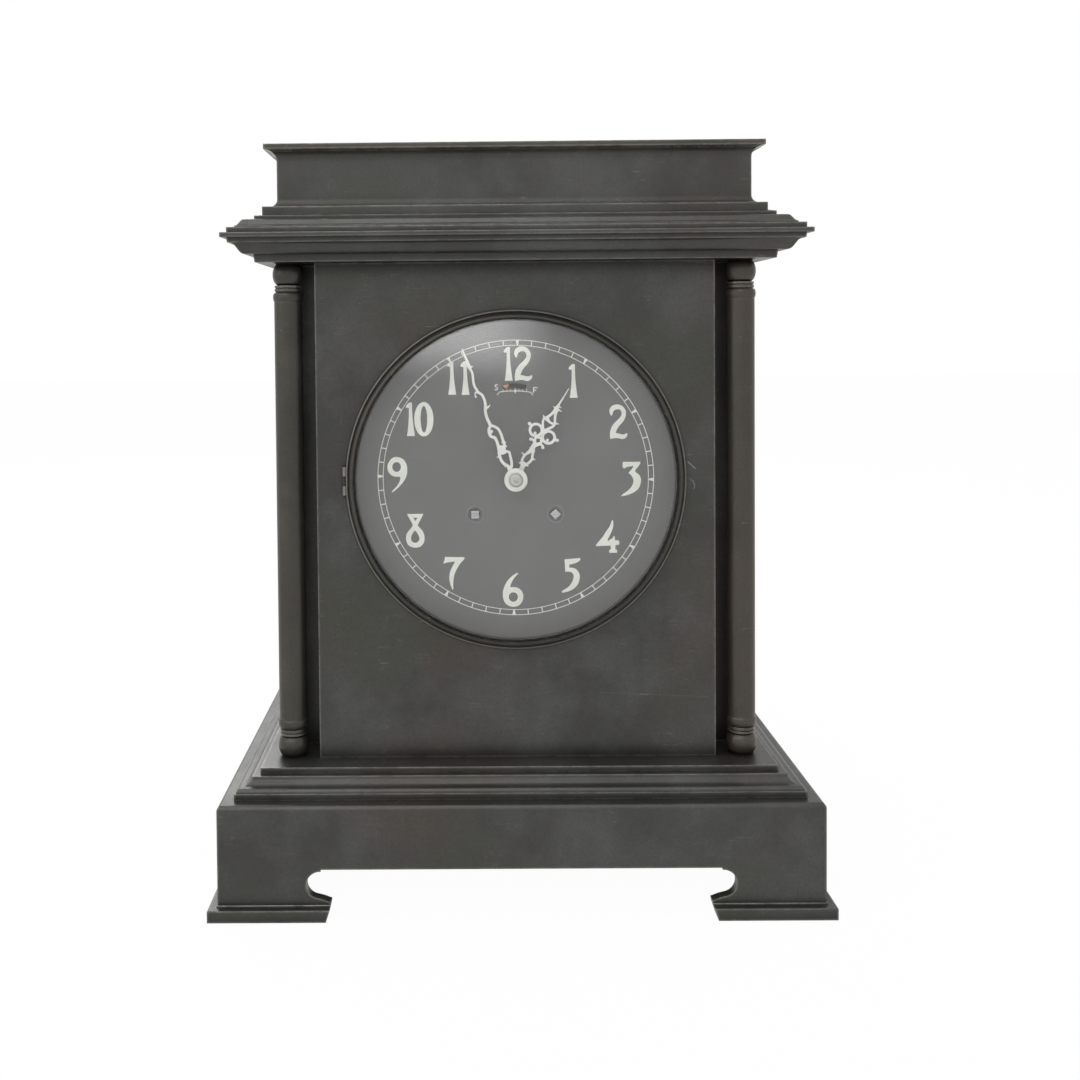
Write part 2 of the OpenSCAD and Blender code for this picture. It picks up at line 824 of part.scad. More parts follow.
great_n = 72;
second_pinion_n = 12;
second_n = 60;
centre_pinion_n = 10;
second_m = 0.4;
centre_n = 64;
leaf_n = 8;
centre_m = 0.38;
third_n = 60;
third_m = 0.36;
fourth_n = 64;
fourth_m = 0.32;
pin_wheel_n = 54;
pin_m = 0.4;
locking_n = 56;
locking_m = 0.34;
warning_n = 48;
warning_m = 0.32;

great_mesh = great_m * (great_n + second_pinion_n) / 2;
second_mesh = second_m * (second_n + centre_pinion_n) / 2;

// Place of an arbor from two others at known distances, on the side that sign picks
function meet(a, ra, b, rb, sign) = let(
  d = norm(b - a),
  along = (ra * ra - rb * rb + d * d) / (2 * d),
  off = sqrt(ra * ra - along * along),
  dir = (b - a) / d
) a + along * dir + sign * off * [-dir[1], dir[0]];

function polar(r, a) = r * [cos(a), sin(a)];

centre_at = [0, 0];
second_at = meet(time_at, great_mesh, centre_at, second_mesh, -1);
third_at = polar(centre_m * (centre_n + leaf_n) / 2, 75);
fourth_at = third_at + polar(third_m * (third_n + leaf_n) / 2, 150);
escape_at = fourth_at + polar(fourth_m * (fourth_n + leaf_n) / 2, 65);
escape_r = 7.5;
pallet_span = 37.5;
pallet_at = escape_at + polar(escape_r / cos(pallet_span), 30);
pin_at = meet(strike_at, great_mesh, centre_at, second_mesh, 1);
locking_at = pin_at + polar(pin_m * (pin_wheel_n + leaf_n) / 2, 120);
warning_at = locking_at + polar(locking_m * (locking_n + leaf_n) / 2, 110);
fly_at = warning_at + polar(warning_m * (warning_n + leaf_n) / 2, 45);
minute_m = 0.5;
minute_at = [-minute_m * (36 + 12) / 2, 0];
hammer_at = [-34, -2];
rack_at = [-30.5, -3];
hook_at = [-37, 24];

// How far a pinion must be turned so that its leaf stands in a gap of a wheel that has a tooth at angle zero
function angle_of(v) = atan2(v[1], v[0]);
function mesh_turn(wheel_at, wheel_teeth, wheel_turn, pinion_at, pinion_teeth) = let(
  a = angle_of(pinion_at - wheel_at),
  phase = (a - wheel_turn) * wheel_teeth / 360,
  off = phase - floor(phase)
) a + 180 + (off - 0.5) * 360 / pinion_teeth;

// Depths of the wheels, from the front plate
great_y = front_in + 2.5;
drum_y = front_in + 4.5;
drum_h = 19;
second_y = front_in + 26;
centre_y = front_in + 30.5;
third_y = front_in + 21;
fourth_y = front_in + 12;
escape_y = front_in + 28.3;
locking_y = front_in + 17;
warning_y = front_in + 22;
fly_y = front_in + 14.5;

drum_r = great_m * great_n / 2 - 0.8;
barrel_arbor_r = 2.6;

// Turns that put every pair in mesh at rest
second_turn = mesh_turn(time_at, great_n, 0, second_at, second_pinion_n);
centre_pinion_turn = mesh_turn(second_at, second_n, second_turn, centre_at, centre_pinion_n);
third_pinion_turn = mesh_turn(centre_at, centre_n, centre_pinion_turn, third_at, leaf_n);
fourth_pinion_turn = mesh_turn(third_at, third_n, third_pinion_turn, fourth_at, leaf_n);
escape_pinion_turn = mesh_turn(fourth_at, fourth_n, fourth_pinion_turn, escape_at, leaf_n);
pin_turn = mesh_turn(strike_at, great_n, 0, pin_at, second_pinion_n);
locking_turn = mesh_turn(pin_at, pin_wheel_n, pin_turn, locking_at, leaf_n);
warning_turn = mesh_turn(locking_at, locking_n, locking_turn, warning_at, leaf_n);
fly_turn = mesh_turn(warning_at, warning_n, warning_turn, fly_at, leaf_n);

// A going barrel: toothed great wheel, drum and snapped-in cap
module barrel(at) {
  color(brass) {
    dial_plate_at(great_y, drum_y - great_y) translate(at) difference() {
      wheel_outline(great_m, great_n);
      polygon(around(barrel_arbor_r + 0.3));
    }
    difference() {
      rod_y(at, drum_r, drum_y + part_gap, drum_y + drum_h);
      rod_y(at, drum_r - 1, drum_y + 1, big);
      rod_y(at, barrel_arbor_r + 0.05, 0, big);
    }
    difference() {
      rod_y(at, drum_r, drum_y + drum_h + part_gap, drum_y + drum_h + 1);
      rod_y(at, barrel_arbor_r + 0.05, 0, big);
    }
  }
}

module time_barrel() {
  place() barrel(time_at);
}

module strike_barrel() {
  place() barrel(strike_at);
}

// A mainspring wound part way, from just off the arbor out to the drum's wall
module mainspring(at) {
  turns = 9;
  steps = turns * 20;
  r0 = barrel_arbor_r + 0.8;
  r1 = drum_r - 1.1 - spring_t;
  inner = [for (i = [0:steps]) (r0 + (r1 - r0) * i / steps) * [cos(i * 18), sin(i * 18)]];
  outer = [for (i = [steps:-1:0]) (r0 + spring_t + (r1 - r0) * i / steps) * [cos(i * 18), sin(i * 18)]];
  color(steel) dial_plate_at(drum_y + 1.6, drum_h - 2.4) translate(at) polygon(concat(inner, outer));
}

module time_mainspring() {
  place() mainspring(time_at);
}

module strike_mainspring() {
  place() mainspring(strike_at);
}

ratchet_y = plate_back - 2.2;
ratchet_t = 1.6;
ratchet_r = 7.2;
ratchet_n = 24;
ratchet_depth = 1.1;

// Outline of a ratchet with steep tooth faces on one side
function ratchet_points(r, n, depth) = [for (i = [0:n - 1])
  each [polar(r, 360 * i / n), polar(r - depth, 360 * i / n + 3)]];

// The arbor that a key winds, with its hub inside the barrel and its ratchet in front of the plate
module winding_arbor(at, turn) {
  color(steel) {
    rod_y(at, barrel_arbor_r, front_in + 0.3, drum_y + drum_h + 2);
    rod_y(at, big_pivot_r, drum_y + drum_h + 2, back_in + plate_t - 0.1);
    rod_y(at, 2.5, plate_back - 0.4, front_in + 0.3);
    dial_plate_at(dial_back - 1, plate_back - 0.4 - dial_back + 1) translate(at) rotate(turn)
      square(wind_square, center = true);
  }
  color(brass) dial_plate_at(ratchet_y, ratchet_t) translate(at) difference() {
    polygon(ratchet_points(ratchet_r, ratchet_n, ratchet_depth));
    rotate(turn) square(wind_square + 2 * part_gap, center = true);
  }
}

module time_winding_arbor() {
  place() winding_arbor(time_at, 42);
}

module strike_winding_arbor() {
  place() winding_arbor(strike_at, 2);
}

click_reach = 12.4;

// The click that lets a ratchet turn only one way. It turns on its stud, which lies at the angle toward
// from the arbor, and its nose stands in a tooth's gap just clear of the tooth.
module click(at, toward) {
  stud = [click_reach, 0];
  color(steel) place() dial_plate_at(ratchet_y, ratchet_t) translate(at) rotate(toward) difference() {
    union() {
      translate(stud) circle(r = 2.6);
      polygon([
        polar(ratchet_r + 0.3, -43.6), stud + [0.9, -2.2], stud + [-1.7, 1.6],
        polar(ratchet_r + 0.8, -31), polar(ratchet_r - 0.4, -37), polar(ratchet_r - 0.9, -41.2)
      ]);
    }
    translate(stud) circle(r = 1.05);
  }
}

module time_click() {
  click(time_at, 0);
}

module strike_click() {
  click(strike_at, 180);
}

small_arbor_r = 0.8;

module second_wheel() {
  pinion_y = front_in + 1.5;
  pinion_t = 4.5;
  place() {
    train_pinion(second_at, great_m, second_pinion_n, pinion_y, pinion_t, second_turn);
    turned(second_at, second_turn) train_wheel([0, 0], second_m, second_n, second_y, 1.6, 5, 1);
    arbor(second_at, 1, pinion_y, pinion_t);
  }
}

// Turns children about an arbor's line
module turned(at, turn) {
  translate([at[0], 0, dial_z + at[1]]) rotate([0, -turn, 0]) translate([0, 0, -dial_z]) children();
}

module centre_wheel() {
  pinion_y = second_y - 1;
  pinion_t = 4;
  place() {
    train_pinion(centre_at, second_m, centre_pinion_n, pinion_y, pinion_t, centre_pinion_turn);
    turned(centre_at, centre_pinion_turn) train_wheel([0, 0], centre_m, centre_n, centre_y, 1.2, 5, 1);
    color(steel) {
      rod_y(centre_at, centre_r, minute_hand_y - 2.5, pinion_y - part_gap);
      rod_y(centre_at, centre_r, pinion_y + pinion_t + part_gap, back_in + plate_t - 0.1);
    }
  }
}

module third_wheel() {
  pinion_y = centre_y - 0.8;
  pinion_t = 2.8;
  place() {
    train_pinion(third_at, centre_m, leaf_n, pinion_y, pinion_t, third_pinion_turn);
    turned(third_at, third_pinion_turn) train_wheel([0, 0], third_m, third_n, third_y, 1.1, 5, small_arbor_r);
    arbor(third_at, small_arbor_r, pinion_y, pinion_t);
  }
}

module fourth_wheel() {
  pinion_y = third_y - 1;
  pinion_t = 3.2;
  place() {
    train_pinion(fourth_at, third_m, leaf_n, pinion_y, pinion_t, fourth_pinion_turn);
    turned(fourth_at, fourth_pinion_turn)
      train_wheel([0, 0], fourth_m, fourth_n, fourth_y, 1, 5, small_arbor_r);
    arbor(fourth_at, small_arbor_r, pinion_y, pinion_t);
  }
}

escape_n = 15;

// Outline of the escape wheel, with fifteen club teeth that lean forward
function escape_points(r) = [for (i = [0:escape_n - 1]) let(a = 360 * i / escape_n) each [
  polar(r - 2.2, a - 3), polar(r - 0.5, a + 1), polar(r, a + 3.5),
  polar(r - 0.2, a + 5.5), polar(r - 2.2, a + 4)
]];

module escape_wheel() {
  pinion_y = fourth_y - 1;
  pinion_t = 3;
  place() {
    train_pinion(escape_at, fourth_m, leaf_n, pinion_y, pinion_t, escape_pinion_turn);
    color(brass) dial_plate_at(escape_y, 0.8) translate(escape_at) difference() {
      polygon(escape_points(escape_r));
      crossings(2, escape_r - 3.1, 4, 0.9);
      polygon(around(small_arbor_r + part_gap));
    }
    arbor(escape_at, small_arbor_r, pinion_y, pinion_t);
  }
}

fork_y = back_out + 1.2;
lever_turn = angle_of(balance_at - pallet_at);

// The pallets between the plates and the fork behind the back plate, on one arbor
module pallet_lever() {
  reach = norm(balance_at - pallet_at);
  toward = angle_of(escape_at - pallet_at);
  place() {
    color(steel) {
      dial_plate_at(escape_y - 0.3, 1.4) translate(pallet_at) rotate(toward) difference() {
        union() {
          circle(r = 1.6);
          for (side = [-1, 1]) polygon([
            [0, side * 0.3], [1.2, side * 0.8], [2.86, side * 4.62], [3.28, side * 5.17],
            [2.1, side * 6.17], [1, side * 5.2], [-0.9, side * 1.2]
          ]);
        }
        circle(r = small_arbor_r - 0.1);
      }
      rod_y(pallet_at, small_arbor_r, front_in + 0.3, fork_y + 1);
      rod_y(pallet_at, pivot_r, front_in - plate_t + 0.1, front_in + 0.3);
    }
    color(brass) dial_plate_at(fork_y, 0.9) translate(pallet_at) rotate(lever_turn) difference() {
      union() {
        circle(r = 1.9);
        polygon([
          [-5, 0.5], [-5, -0.5], [0, -1], [reach - 5, -0.6], [reach - 3.6, -1.4], [reach - 2.45, -1.4],
          [reach - 2.45, -0.5], [reach - 4, -0.5], [reach - 4, 0.5], [reach - 2.45, 0.5],
          [reach - 2.45, 1.4], [reach - 3.6, 1.4], [reach - 5, 0.6], [0, 1]
        ]);
      }
      circle(r = small_arbor_r - 0.1);
    }
  }
}

balance_y = back_out + 5;
balance_r = 10;
spring_y = balance_y + 2.6;
cock_y = back_out + 9.8;
cock_t = 2;

// The balance: staff, roller with its pin, and a rim on two arms
module balance() {
  place() {
    color(brass) dial_plate_at(balance_y, 1.4) translate(balance_at) difference() {
      circle(r = balance_r);
      difference() {
        circle(r = balance_r - 1.4);
        circle(r = 2);
        square([2 * balance_r, 1.8], center = true);
      }
      circle(r = 0.6);
    }
    color(steel) {
      rod_y(balance_at, 0.7, back_out + 0.4, cock_y - 0.2);
      rod_y(balance_at, 0.35, back_out - 1.2, back_out + 0.4);
      rod_y(balance_at, 0.35, cock_y - 0.2, cock_y + 1.2);
      difference() {
        rod_y(balance_at, 2.7, fork_y + 1.4, fork_y + 2.2);
        rod_y(balance_at, 0.6, 0, big);
      }
      rod_y(balance_at + polar(2, lever_turn + 180), 0.25, fork_y, fork_y + 1.6);
    }
  }
}

// The flat hairspring, from its collet on the staff out to the stud under the cock
module hairspring() {
  turns = 6;
  steps = turns * 20;
  r0 = 1.5;
  r1 = 6.3;
  w = 0.18;
  start = angle_of(cock_foot - balance_at);
  inner = [for (i = [0:steps]) polar(r0 + (r1 - r0) * i / steps, i * 18 + start)];
  outer = [for (i = [steps:-1:0]) polar(r0 + w + (r1 - r0) * i / steps, i * 18 + start)];
  color("#5a78b4") place() {
    dial_plate_at(spring_y, 0.6) translate(balance_at) polygon(concat(inner, outer));
    dial_plate_at(spring_y, 0.9) translate(balance_at) difference() {
      circle(r = r0 + 0.05);
      circle(r = 0.75);
    }
    rod_y(balance_at + polar(r1 + 0.1, start), 0.5, spring_y, cock_y);
  }
}

cock_foot = [-17, 37];

// The bridge over the balance, on a foot that stands on the back plate
module balance_cock() {
  color(brass) place() {
    along = balance_at - cock_foot;
    difference() {
      dial_plate_at(cock_y, cock_t) {
        translate(balance_at) circle(r = 4);
        translate(cock_foot) circle(r = 4.5);
        translate(cock_foot) rotate(angle_of(along)) translate([0, -3]) square([norm(along), 6]);
      }
      rod_y(balance_at, 0.39, 0, cock_y + 1.4);
    }
    rod_y(cock_foot, 4.2, back_out, cock_y);
    // The stepped boss that the regulator turns on
    rod_y(balance_at, 2, cock_y + cock_t, cock_y + cock_t + 1.2);
    rod_y(balance_at, 3, cock_y + cock_t + 1.2, cock_y + cock_t + 1.7);
  }
}

// The regulator: a lever on the cock, and a wire over the plates to a pointer in the dial's slot
module regulator() {
  lever_y = cock_y + cock_t + 0.2;
  wire_r = 0.6;
  color("#b4744e") place() turned(balance_at, index_turn) {
    dial_plate_at(lever_y, 0.8) difference() {
      union() {
        circle(r = 3.6);
        translate([-1, 0]) square([2, index_r + 0.6]);
      }
      circle(r = 2.05);
    }
    rod_y([0, index_r], wire_r, dial_back - 0.2, lever_y);
    dial_plate_at(dial_back - 0.9, 0.7)
      polygon([[-1.7, index_r + 1], [1.7, index_r + 1], [0, index_r - 1.2]]);
  }
}

// Motion work, in front of the front plate

cannon_y = plate_back - 4.6;
minute_wheel_y = plate_back - 4.2;
hour_m = 0.48;
hour_y = plate_back - 8;
minute_pinion_turn = mesh_turn(minute_at, 36, 0, centre_at, 12);
hour_turn_teeth = mesh_turn(minute_at, 10, 0, centre_at, 40);

module cannon_pinion() {
  place() {
    color(steel) dial_plate_at(cannon_y, 3) rotate(minute_pinion_turn) difference() {
      pinion_outline(minute_m, 12);
      polygon(around(centre_r + 0.2));
    }
    color(steel) difference() {
      rod_y(centre_at, cannon_r, minute_hand_y + hand_t, cannon_y - part_gap);
      rod_y(centre_at, centre_r + 0.05, -big, big);
    }
  }
}

module minute_wheel() {
  place() {
    train_wheel(minute_at, minute_m, 36, minute_wheel_y, 1.2, 4, 1.75);
    color(steel) {
      difference() {
        rod_y(minute_at, 1.75, hour_y + 2.8 + part_gap, minute_wheel_y + 1.2);
        rod_y(minute_at, 1.05, 0, big);
      }
      dial_plate_at(hour_y - 0.6, 3.4) translate(minute_at) difference() {
        pinion_outline(hour_m, 10);
        polygon(around(1.1));
      }
    }
  }
}

snail_low = 3.6;
snail_high = 6.6;

// The hour wheel on its pipe, and the snail that sets how many blows the clock strikes
module hour_wheel() {
  place() {
    turned(centre_at, hour_turn_teeth) train_wheel([0, 0], hour_m, 40, hour_y, 1.2, 4, pipe_r);
    color(brass) difference() {
      rod_y(centre_at, pipe_r, hour_hand_y + hand_t, hour_y + 1.2);
      rod_y(centre_at, pipe_bore, -big, big);
    }
    color(brass) difference() {
      rod_y(centre_at, pipe_r - 0.3, hour_hand_y, hour_hand_y + hand_t);
      rod_y(centre_at, pipe_bore, -big, big);
    }
    color(steel) dial_plate_at(hour_y - 1.4, 1.2) difference() {
      polygon([for (i = [0:11]) each [for (k = [0:3])
        polar(snail_low + (snail_high - snail_low) * i / 11, 30 * i + 10 * k)]]);
      polygon(around(pipe_r + part_gap));
    }
  }
}

// The plates

pillar_at = [[-plate_w / 2 + 5.5, plate_up - 6], [plate_w / 2 - 5.5, plate_up - 6],
  [-plate_w / 2 + 5.5, -plate_down + 5.5], [plate_w / 2 - 5.5, -plate_down + 5.5]];
train_ats = [second_at, third_at, fourth_at, escape_at, pin_at, locking_at, warning_at, fly_at];

// Outline of a plate with round corners and a notch for the regulator's wire
module plate_outline() {
  corner = 5;
  difference() {
    union() {
      translate([-plate_w / 2, -plate_down + corner]) square([plate_w, plate_up + plate_down - 2 * corner]);
      translate([-plate_w / 2 + corner, -plate_down]) square([plate_w - 2 * corner, plate_up + plate_down]);
      for (x = [-plate_w / 2 + corner, plate_w / 2 - corner], z = [-plate_down + corner, plate_up - corner])
        translate([x, z]) circle(r = corner);
    }
    translate([-8, 41]) square([16, plate_up]);
  }
}

module pivot_holes(ats, r) {
  for (at = ats) translate(at) circle(r = r + pivot_gap);
}

module front_plate() {
  color(brass) place() {
    dial_plate_at(plate_back, plate_t) difference() {
      plate_outline();
      pivot_holes(train_ats, pivot_r);
      pivot_holes([pallet_at], pivot_r);
      pivot_holes([centre_at], centre_r);
      pivot_holes([time_at, strike_at], 2.5);
      pivot_holes([hammer_at], 1.2);
      pivot_holes([locking_at], 0.6);
    }
    // Studs for the clicks, the minute wheel, the rack and its hook
    for (at = [time_at + [click_reach, 0], strike_at - [click_reach, 0]])
      rod_y(at, 1, ratchet_y - 0.3, plate_back);
    rod_y(minute_at, 1, hour_y - 1, plate_back);
    rod_y(rack_at, 1, tail_y - 0.3, plate_back);
    rod_y(hook_at, 1, rack_y - 0.3, plate_back);
  }
}

module back_plate() {
  color(brass) place() dial_plate_at(back_in, plate_t) difference() {
    plate_outline();
    pivot_holes(train_ats, pivot_r);
    pivot_holes([pallet_at], small_arbor_r);
    pivot_holes([centre_at], centre_r);
    pivot_holes([time_at, strike_at], big_pivot_r);
    pivot_holes([hammer_at], 1.2);
    pivot_holes([balance_at], 0.35);
  }
}

module pillars() {
  color(brass) place() for (at = pillar_at)
    translate([at[0], front_in, dial_z + at[1]]) rotate([-90, 0, 0]) rotate_extrude() polygon([
      [0, 0], [3.6, 0], [3.6, 2], [2.8, 3.5], [2.4, plate_gap / 2 - 2], [3.2, plate_gap / 2],
      [2.4, plate_gap / 2 + 2], [2.8, plate_gap - 3.5], [3.6, plate_gap - 2], [3.6, plate_gap], [0, plate_gap]
    ]);
}

// The strike train

module pin_wheel() {
  pinion_y = front_in + 1.5;
  pinion_t = 4.5;
  place() {
    train_pinion(pin_at, great_m, second_pinion_n, pinion_y, pinion_t, pin_turn);
    turned(pin_at, pin_turn) train_wheel([0, 0], pin_m, pin_wheel_n, second_y, 1.4, 5, 1);
    color(steel) for (i = [0:7])
      rod_y(pin_at + polar(9.7, 45 * i + pin_turn), 0.4, second_y + 0.5, second_y + 4);
    arbor(pin_at, 1, pinion_y, pinion_t);
  }
}

// The wheel that locks the striking, with the gathering pallet on its arbor in front of the plate
module locking_wheel() {
  pinion_y = second_y - 0.8;
  pinion_t = 3;
  place() {
    train_pinion(locking_at, pin_m, leaf_n, pinion_y, pinion_t, locking_turn);
    turned(locking_at, locking_turn)
      train_wheel([0, 0], locking_m, locking_n, locking_y, 1, 5, small_arbor_r);
    arbor(locking_at, small_arbor_r, pinion_y, pinion_t);
    color(steel) rod_y(locking_at, pivot_r, ratchet_y - 0.6, plate_back + 0.2);
    color(steel) dial_plate_at(ratchet_y, 1.4) translate(locking_at) difference() {
      polygon([[-1.1, -1], [1.1, -1], [1.1, 0.9], [0.3, 1.75], [-0.3, 1.75], [-1.1, 0.9]]);
      polygon(around(pivot_r + part_gap));
    }
  }
}

module warning_wheel() {
  pinion_y = locking_y - 0.9;
  pinion_t = 2.8;
  place() {
    train_pinion(warning_at, locking_m, leaf_n, pinion_y, pinion_t, warning_turn);
    turned(warning_at, warning_turn)
      train_wheel([0, 0], warning_m, warning_n, warning_y, 0.9, 4, small_arbor_r);
    arbor(warning_at, small_arbor_r, pinion_y, pinion_t);
  }
}

fly_w = 5.8;

// The fly, an air brake with a thin vane
module fly() {
  pinion_y = warning_y - 0.9;
  pinion_t = 2.7;
  place() {
    train_pinion(fly_at, warning_m, leaf_n, pinion_y, pinion_t, fly_turn);
    color(brass) dial_plate_at(fly_y, 5.6) translate(fly_at) rotate(20) difference() {
      union() {
        square([2 * fly_w, 0.6], center = true);
        polygon(around(1.3, 8));
      }
      polygon(around(small_arbor_r + part_gap));
    }
    arbor(fly_at, small_arbor_r, pinion_y, pinion_t);
  }
}

rack_y = plate_back - 2;
rack_t = 1.2;
tail_y = hour_y - 1.4;
rack_r = norm(locking_at - rack_at) - 2;

// The rack that counts the blows: a toothed arm at the gathering pallet and, in front on the same pipe,
// a tail that falls toward the snail
module rack() {
  teeth_n = 13;
  first = 44;
  pitch = 4;
  tail_l = 23.2;
  segment = concat(
    [polar(rack_r - 3.4, first + teeth_n * pitch), polar(rack_r - 3.4, first)],
    [for (i = [0:teeth_n - 1]) each
      [polar(rack_r, first + i * pitch), polar(rack_r - 1, first + (i + 1) * pitch - 0.6)]]
  );
  color(steel) place() difference() {
    union() {
      dial_plate_at(rack_y, rack_t) translate(rack_at) {
        polygon(segment);
        polygon([polar(1.6, 10), polar(rack_r - 2.6, 58), polar(rack_r - 2.6, 72), polar(1.6, 130)]);
      }
      dial_plate_at(tail_y, rack_t) translate(rack_at)
        polygon([polar(1.7, -90), polar(tail_l, -15.9), polar(tail_l, -12.1), polar(1.7, 60)]);
      rod_y(rack_at, 2, tail_y, rack_y + rack_t);
    }
    rod_y(rack_at, 1.05, 0, big);
  }
}

// The hook that holds the rack between one tooth and the next, its beak just clear of the teeth
module rack_hook() {
  beak = rack_at - hook_at + polar(rack_r + 0.25, 84);
  color(steel) place() dial_plate_at(rack_y, rack_t) translate(hook_at) difference() {
    union() {
      circle(r = 2.4);
      polygon([
        beak + [-1.4, 3], beak + [-0.4, 0], beak + [0.3, 0], beak + [1.2, 2.6], beak + [0, 5.2],
        [1.4, 1.7], [-0.4, -1.9]
      ]);
    }
    circle(r = 1.05);
  }
}

// The hammer and gong, behind the movement

gong_y = back_out + 36;
gong_at = [0, -32];
gong_t = 2.4;
gong_w = 1.8;
hammer_arm_y = gong_y - 0.4;
hammer_side = 168;
hammer_head_r = 4;
hammer_head_l = 10;
// The head's face stands a little off the gong's outer turn at that side
hammer_head_at = gong_at
  + polar(gong_r - gong_pitch * (270 - hammer_side) / 360 + hammer_head_l / 2 + 1.5, hammer_side);

// The hammer: an arbor through both plates, a tail near the pin wheel, and an arm with a round head
module hammer() {
  arm = hammer_head_at - hammer_at;
  place() {
    color(steel) {
      rod_y(hammer_at, 1.2, front_in - plate_t + 0.1, hammer_arm_y + 3);
      dial_plate_at(second_y + 2.4, 1.4) translate(hammer_at) {
        circle(r = 2.4);
        rotate(angle_of(pin_at - hammer_at)) translate([0, -0.8]) square([9.6, 1.6]);
      }
      dial_plate_at(hammer_arm_y, 2) translate(hammer_at) {
        circle(r = 2.6);
        rotate(angle_of(arm)) translate([0, -0.9]) square([norm(arm), 1.8]);
      }
    }
    color(brass) translate([hammer_head_at[0], hammer_arm_y + 1, dial_z + hammer_head_at[1]])
      rotate([0, 90 - hammer_side, 0]) cylinder(r = hammer_head_r, h = hammer_head_l, center = true);
  }
}

// A flat coiled gong that widens by one pitch a turn
module gong() {
  steps = gong_turns * 24;
  inner = [for (i = [0:steps]) polar(gong_r - gong_w - gong_pitch * (gong_turns - i / 24), 15 * i - 90)];
  outer = [for (i = [steps:-1:0]) polar(gong_r - gong_pitch * (gong_turns - i / 24), 15 * i - 90)];
  color("#3c4a66") place() dial_plate_at(gong_y, gong_t) translate(gong_at) polygon(concat(inner, outer));
}

// The iron stand that grips the gong's inner end
module gong_stand() {
  end_r = gong_r - gong_pitch * gong_turns;
  end_z = dial_z + gong_at[1] - end_r;
  post_y = gong_y + gong_t + 4.6;
  color("#2c2c2e") place() {
    difference() {
      block([-4, gong_y - 2.5, end_z - 1.5], [4, post_y, end_z + gong_w + 3]);
      block([-5, gong_y, 0], [5, gong_y + gong_t, end_z + gong_w + 0.6]);
    }
    block([-4, post_y, deck_z + 4], [4, post_y + 6, end_z + gong_w + 3]);
    block([-20, gong_y, deck_z], [20, gong_y + 24, deck_z + 4]);
  }
}

plinth();
foot_front_left();
foot_front_right();
feet_back();
base_moulding();
deck_plate();
front_panel();
side_wall_left();
side_wall_right();
back_panel();
column_left();
column_right();
cornice();
top_block();
top_cap();
tie_rods();
bezel_ring();
bezel_glass();
glass_retainer();
bezel_hinge();
rear_door();
rear_door_knob();
rear_hinge();
movement_seat();
dial_plate();
hour_hand();
minute_hand();
cannon_pinion();
minute_wheel();
hour_wheel();
front_plate();
back_plate();
pillars();
time_barrel();
time_mainspring();
time_winding_arbor();
time_click();
strike_barrel();
strike_mainspring();
strike_winding_arbor();
strike_click();
second_wheel();
centre_wheel();
third_wheel();
fourth_wheel();
escape_wheel();
pallet_lever();
balance();
hairspring();
balance_cock();
regulator();
pin_wheel();
locking_wheel();
warning_wheel();
fly();
rack();
rack_hook();
hammer();
gong();
gong_stand();
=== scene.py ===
"""Looks of the empire shelf clock: finishes, dial print, pierced hands, domed glass, lights and camera."""

import json
from math import cos, pi, radians, sin

import bmesh
import bpy
from mathutils import Matrix, Vector


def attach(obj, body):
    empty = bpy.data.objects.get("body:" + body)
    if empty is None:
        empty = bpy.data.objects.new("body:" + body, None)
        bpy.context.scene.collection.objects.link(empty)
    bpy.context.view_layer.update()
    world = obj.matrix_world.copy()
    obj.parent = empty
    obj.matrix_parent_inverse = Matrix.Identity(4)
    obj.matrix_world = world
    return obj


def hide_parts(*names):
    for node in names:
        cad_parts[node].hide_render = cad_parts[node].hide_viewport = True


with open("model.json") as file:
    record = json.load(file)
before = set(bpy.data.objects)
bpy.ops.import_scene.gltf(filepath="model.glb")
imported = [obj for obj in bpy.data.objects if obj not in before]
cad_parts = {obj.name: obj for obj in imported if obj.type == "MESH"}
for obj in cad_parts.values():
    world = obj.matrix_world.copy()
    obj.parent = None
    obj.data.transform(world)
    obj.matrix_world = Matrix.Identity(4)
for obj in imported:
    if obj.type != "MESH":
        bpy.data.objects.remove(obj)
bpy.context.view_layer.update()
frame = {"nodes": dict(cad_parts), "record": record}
parts = frame["nodes"]

# Pieces are drawn in millimetres and turned into metres point by point; finishes and studio are in metres
MM = 0.001
# The front panel's face lies this far in front of the frame's middle
MIDDLE = 63.1
# Height of the dial's middle above the feet, and how far the dial's face lies behind the front panel's
DIAL_UP = 194.6
DIAL_FACE = 9.0


def at_dial(x, y, z):
    """A point given from the middle of the dial, with y counted from the front panel."""
    return Vector((x * MM, (y - MIDDLE) * MM, (DIAL_UP + z) * MM))


# Wiring of finishes


def wire(tree, kind, inputs=None, **settings):
    """Adds one shader node, with its settings, and links or sets its inputs."""
    node = tree.nodes.new("ShaderNode" + kind)
    for name, value in settings.items():
        setattr(node, name, value)
    for name, value in (inputs or {}).items():
        socket = node.inputs[name]
        if isinstance(value, bpy.types.NodeSocket):
            tree.links.new(value, socket)
        else:
            socket.default_value = value
    return node


def maths(tree, operation, a, b=0.0):
    """One sum of the finish, such as MULTIPLY or ADD, on two values."""
    return wire(tree, "Math", {0: a, 1: b}, operation=operation).outputs[0]


def remap(tree, value, low, high, to_low=0.0, to_high=1.0):
    """A smooth step of a value between two limits, brought to a new range."""
    inputs = {"Value": value, "From Min": low, "From Max": high, "To Min": to_low, "To Max": to_high}
    return wire(tree, "MapRange", inputs, interpolation_type="SMOOTHSTEP").outputs[0]


def mixed(tree, factor, a, b):
    """The colour a that turns into b as the factor grows."""
    return wire(tree, "Mix", {0: factor, 6: a, 7: b}, data_type="RGBA").outputs[2]


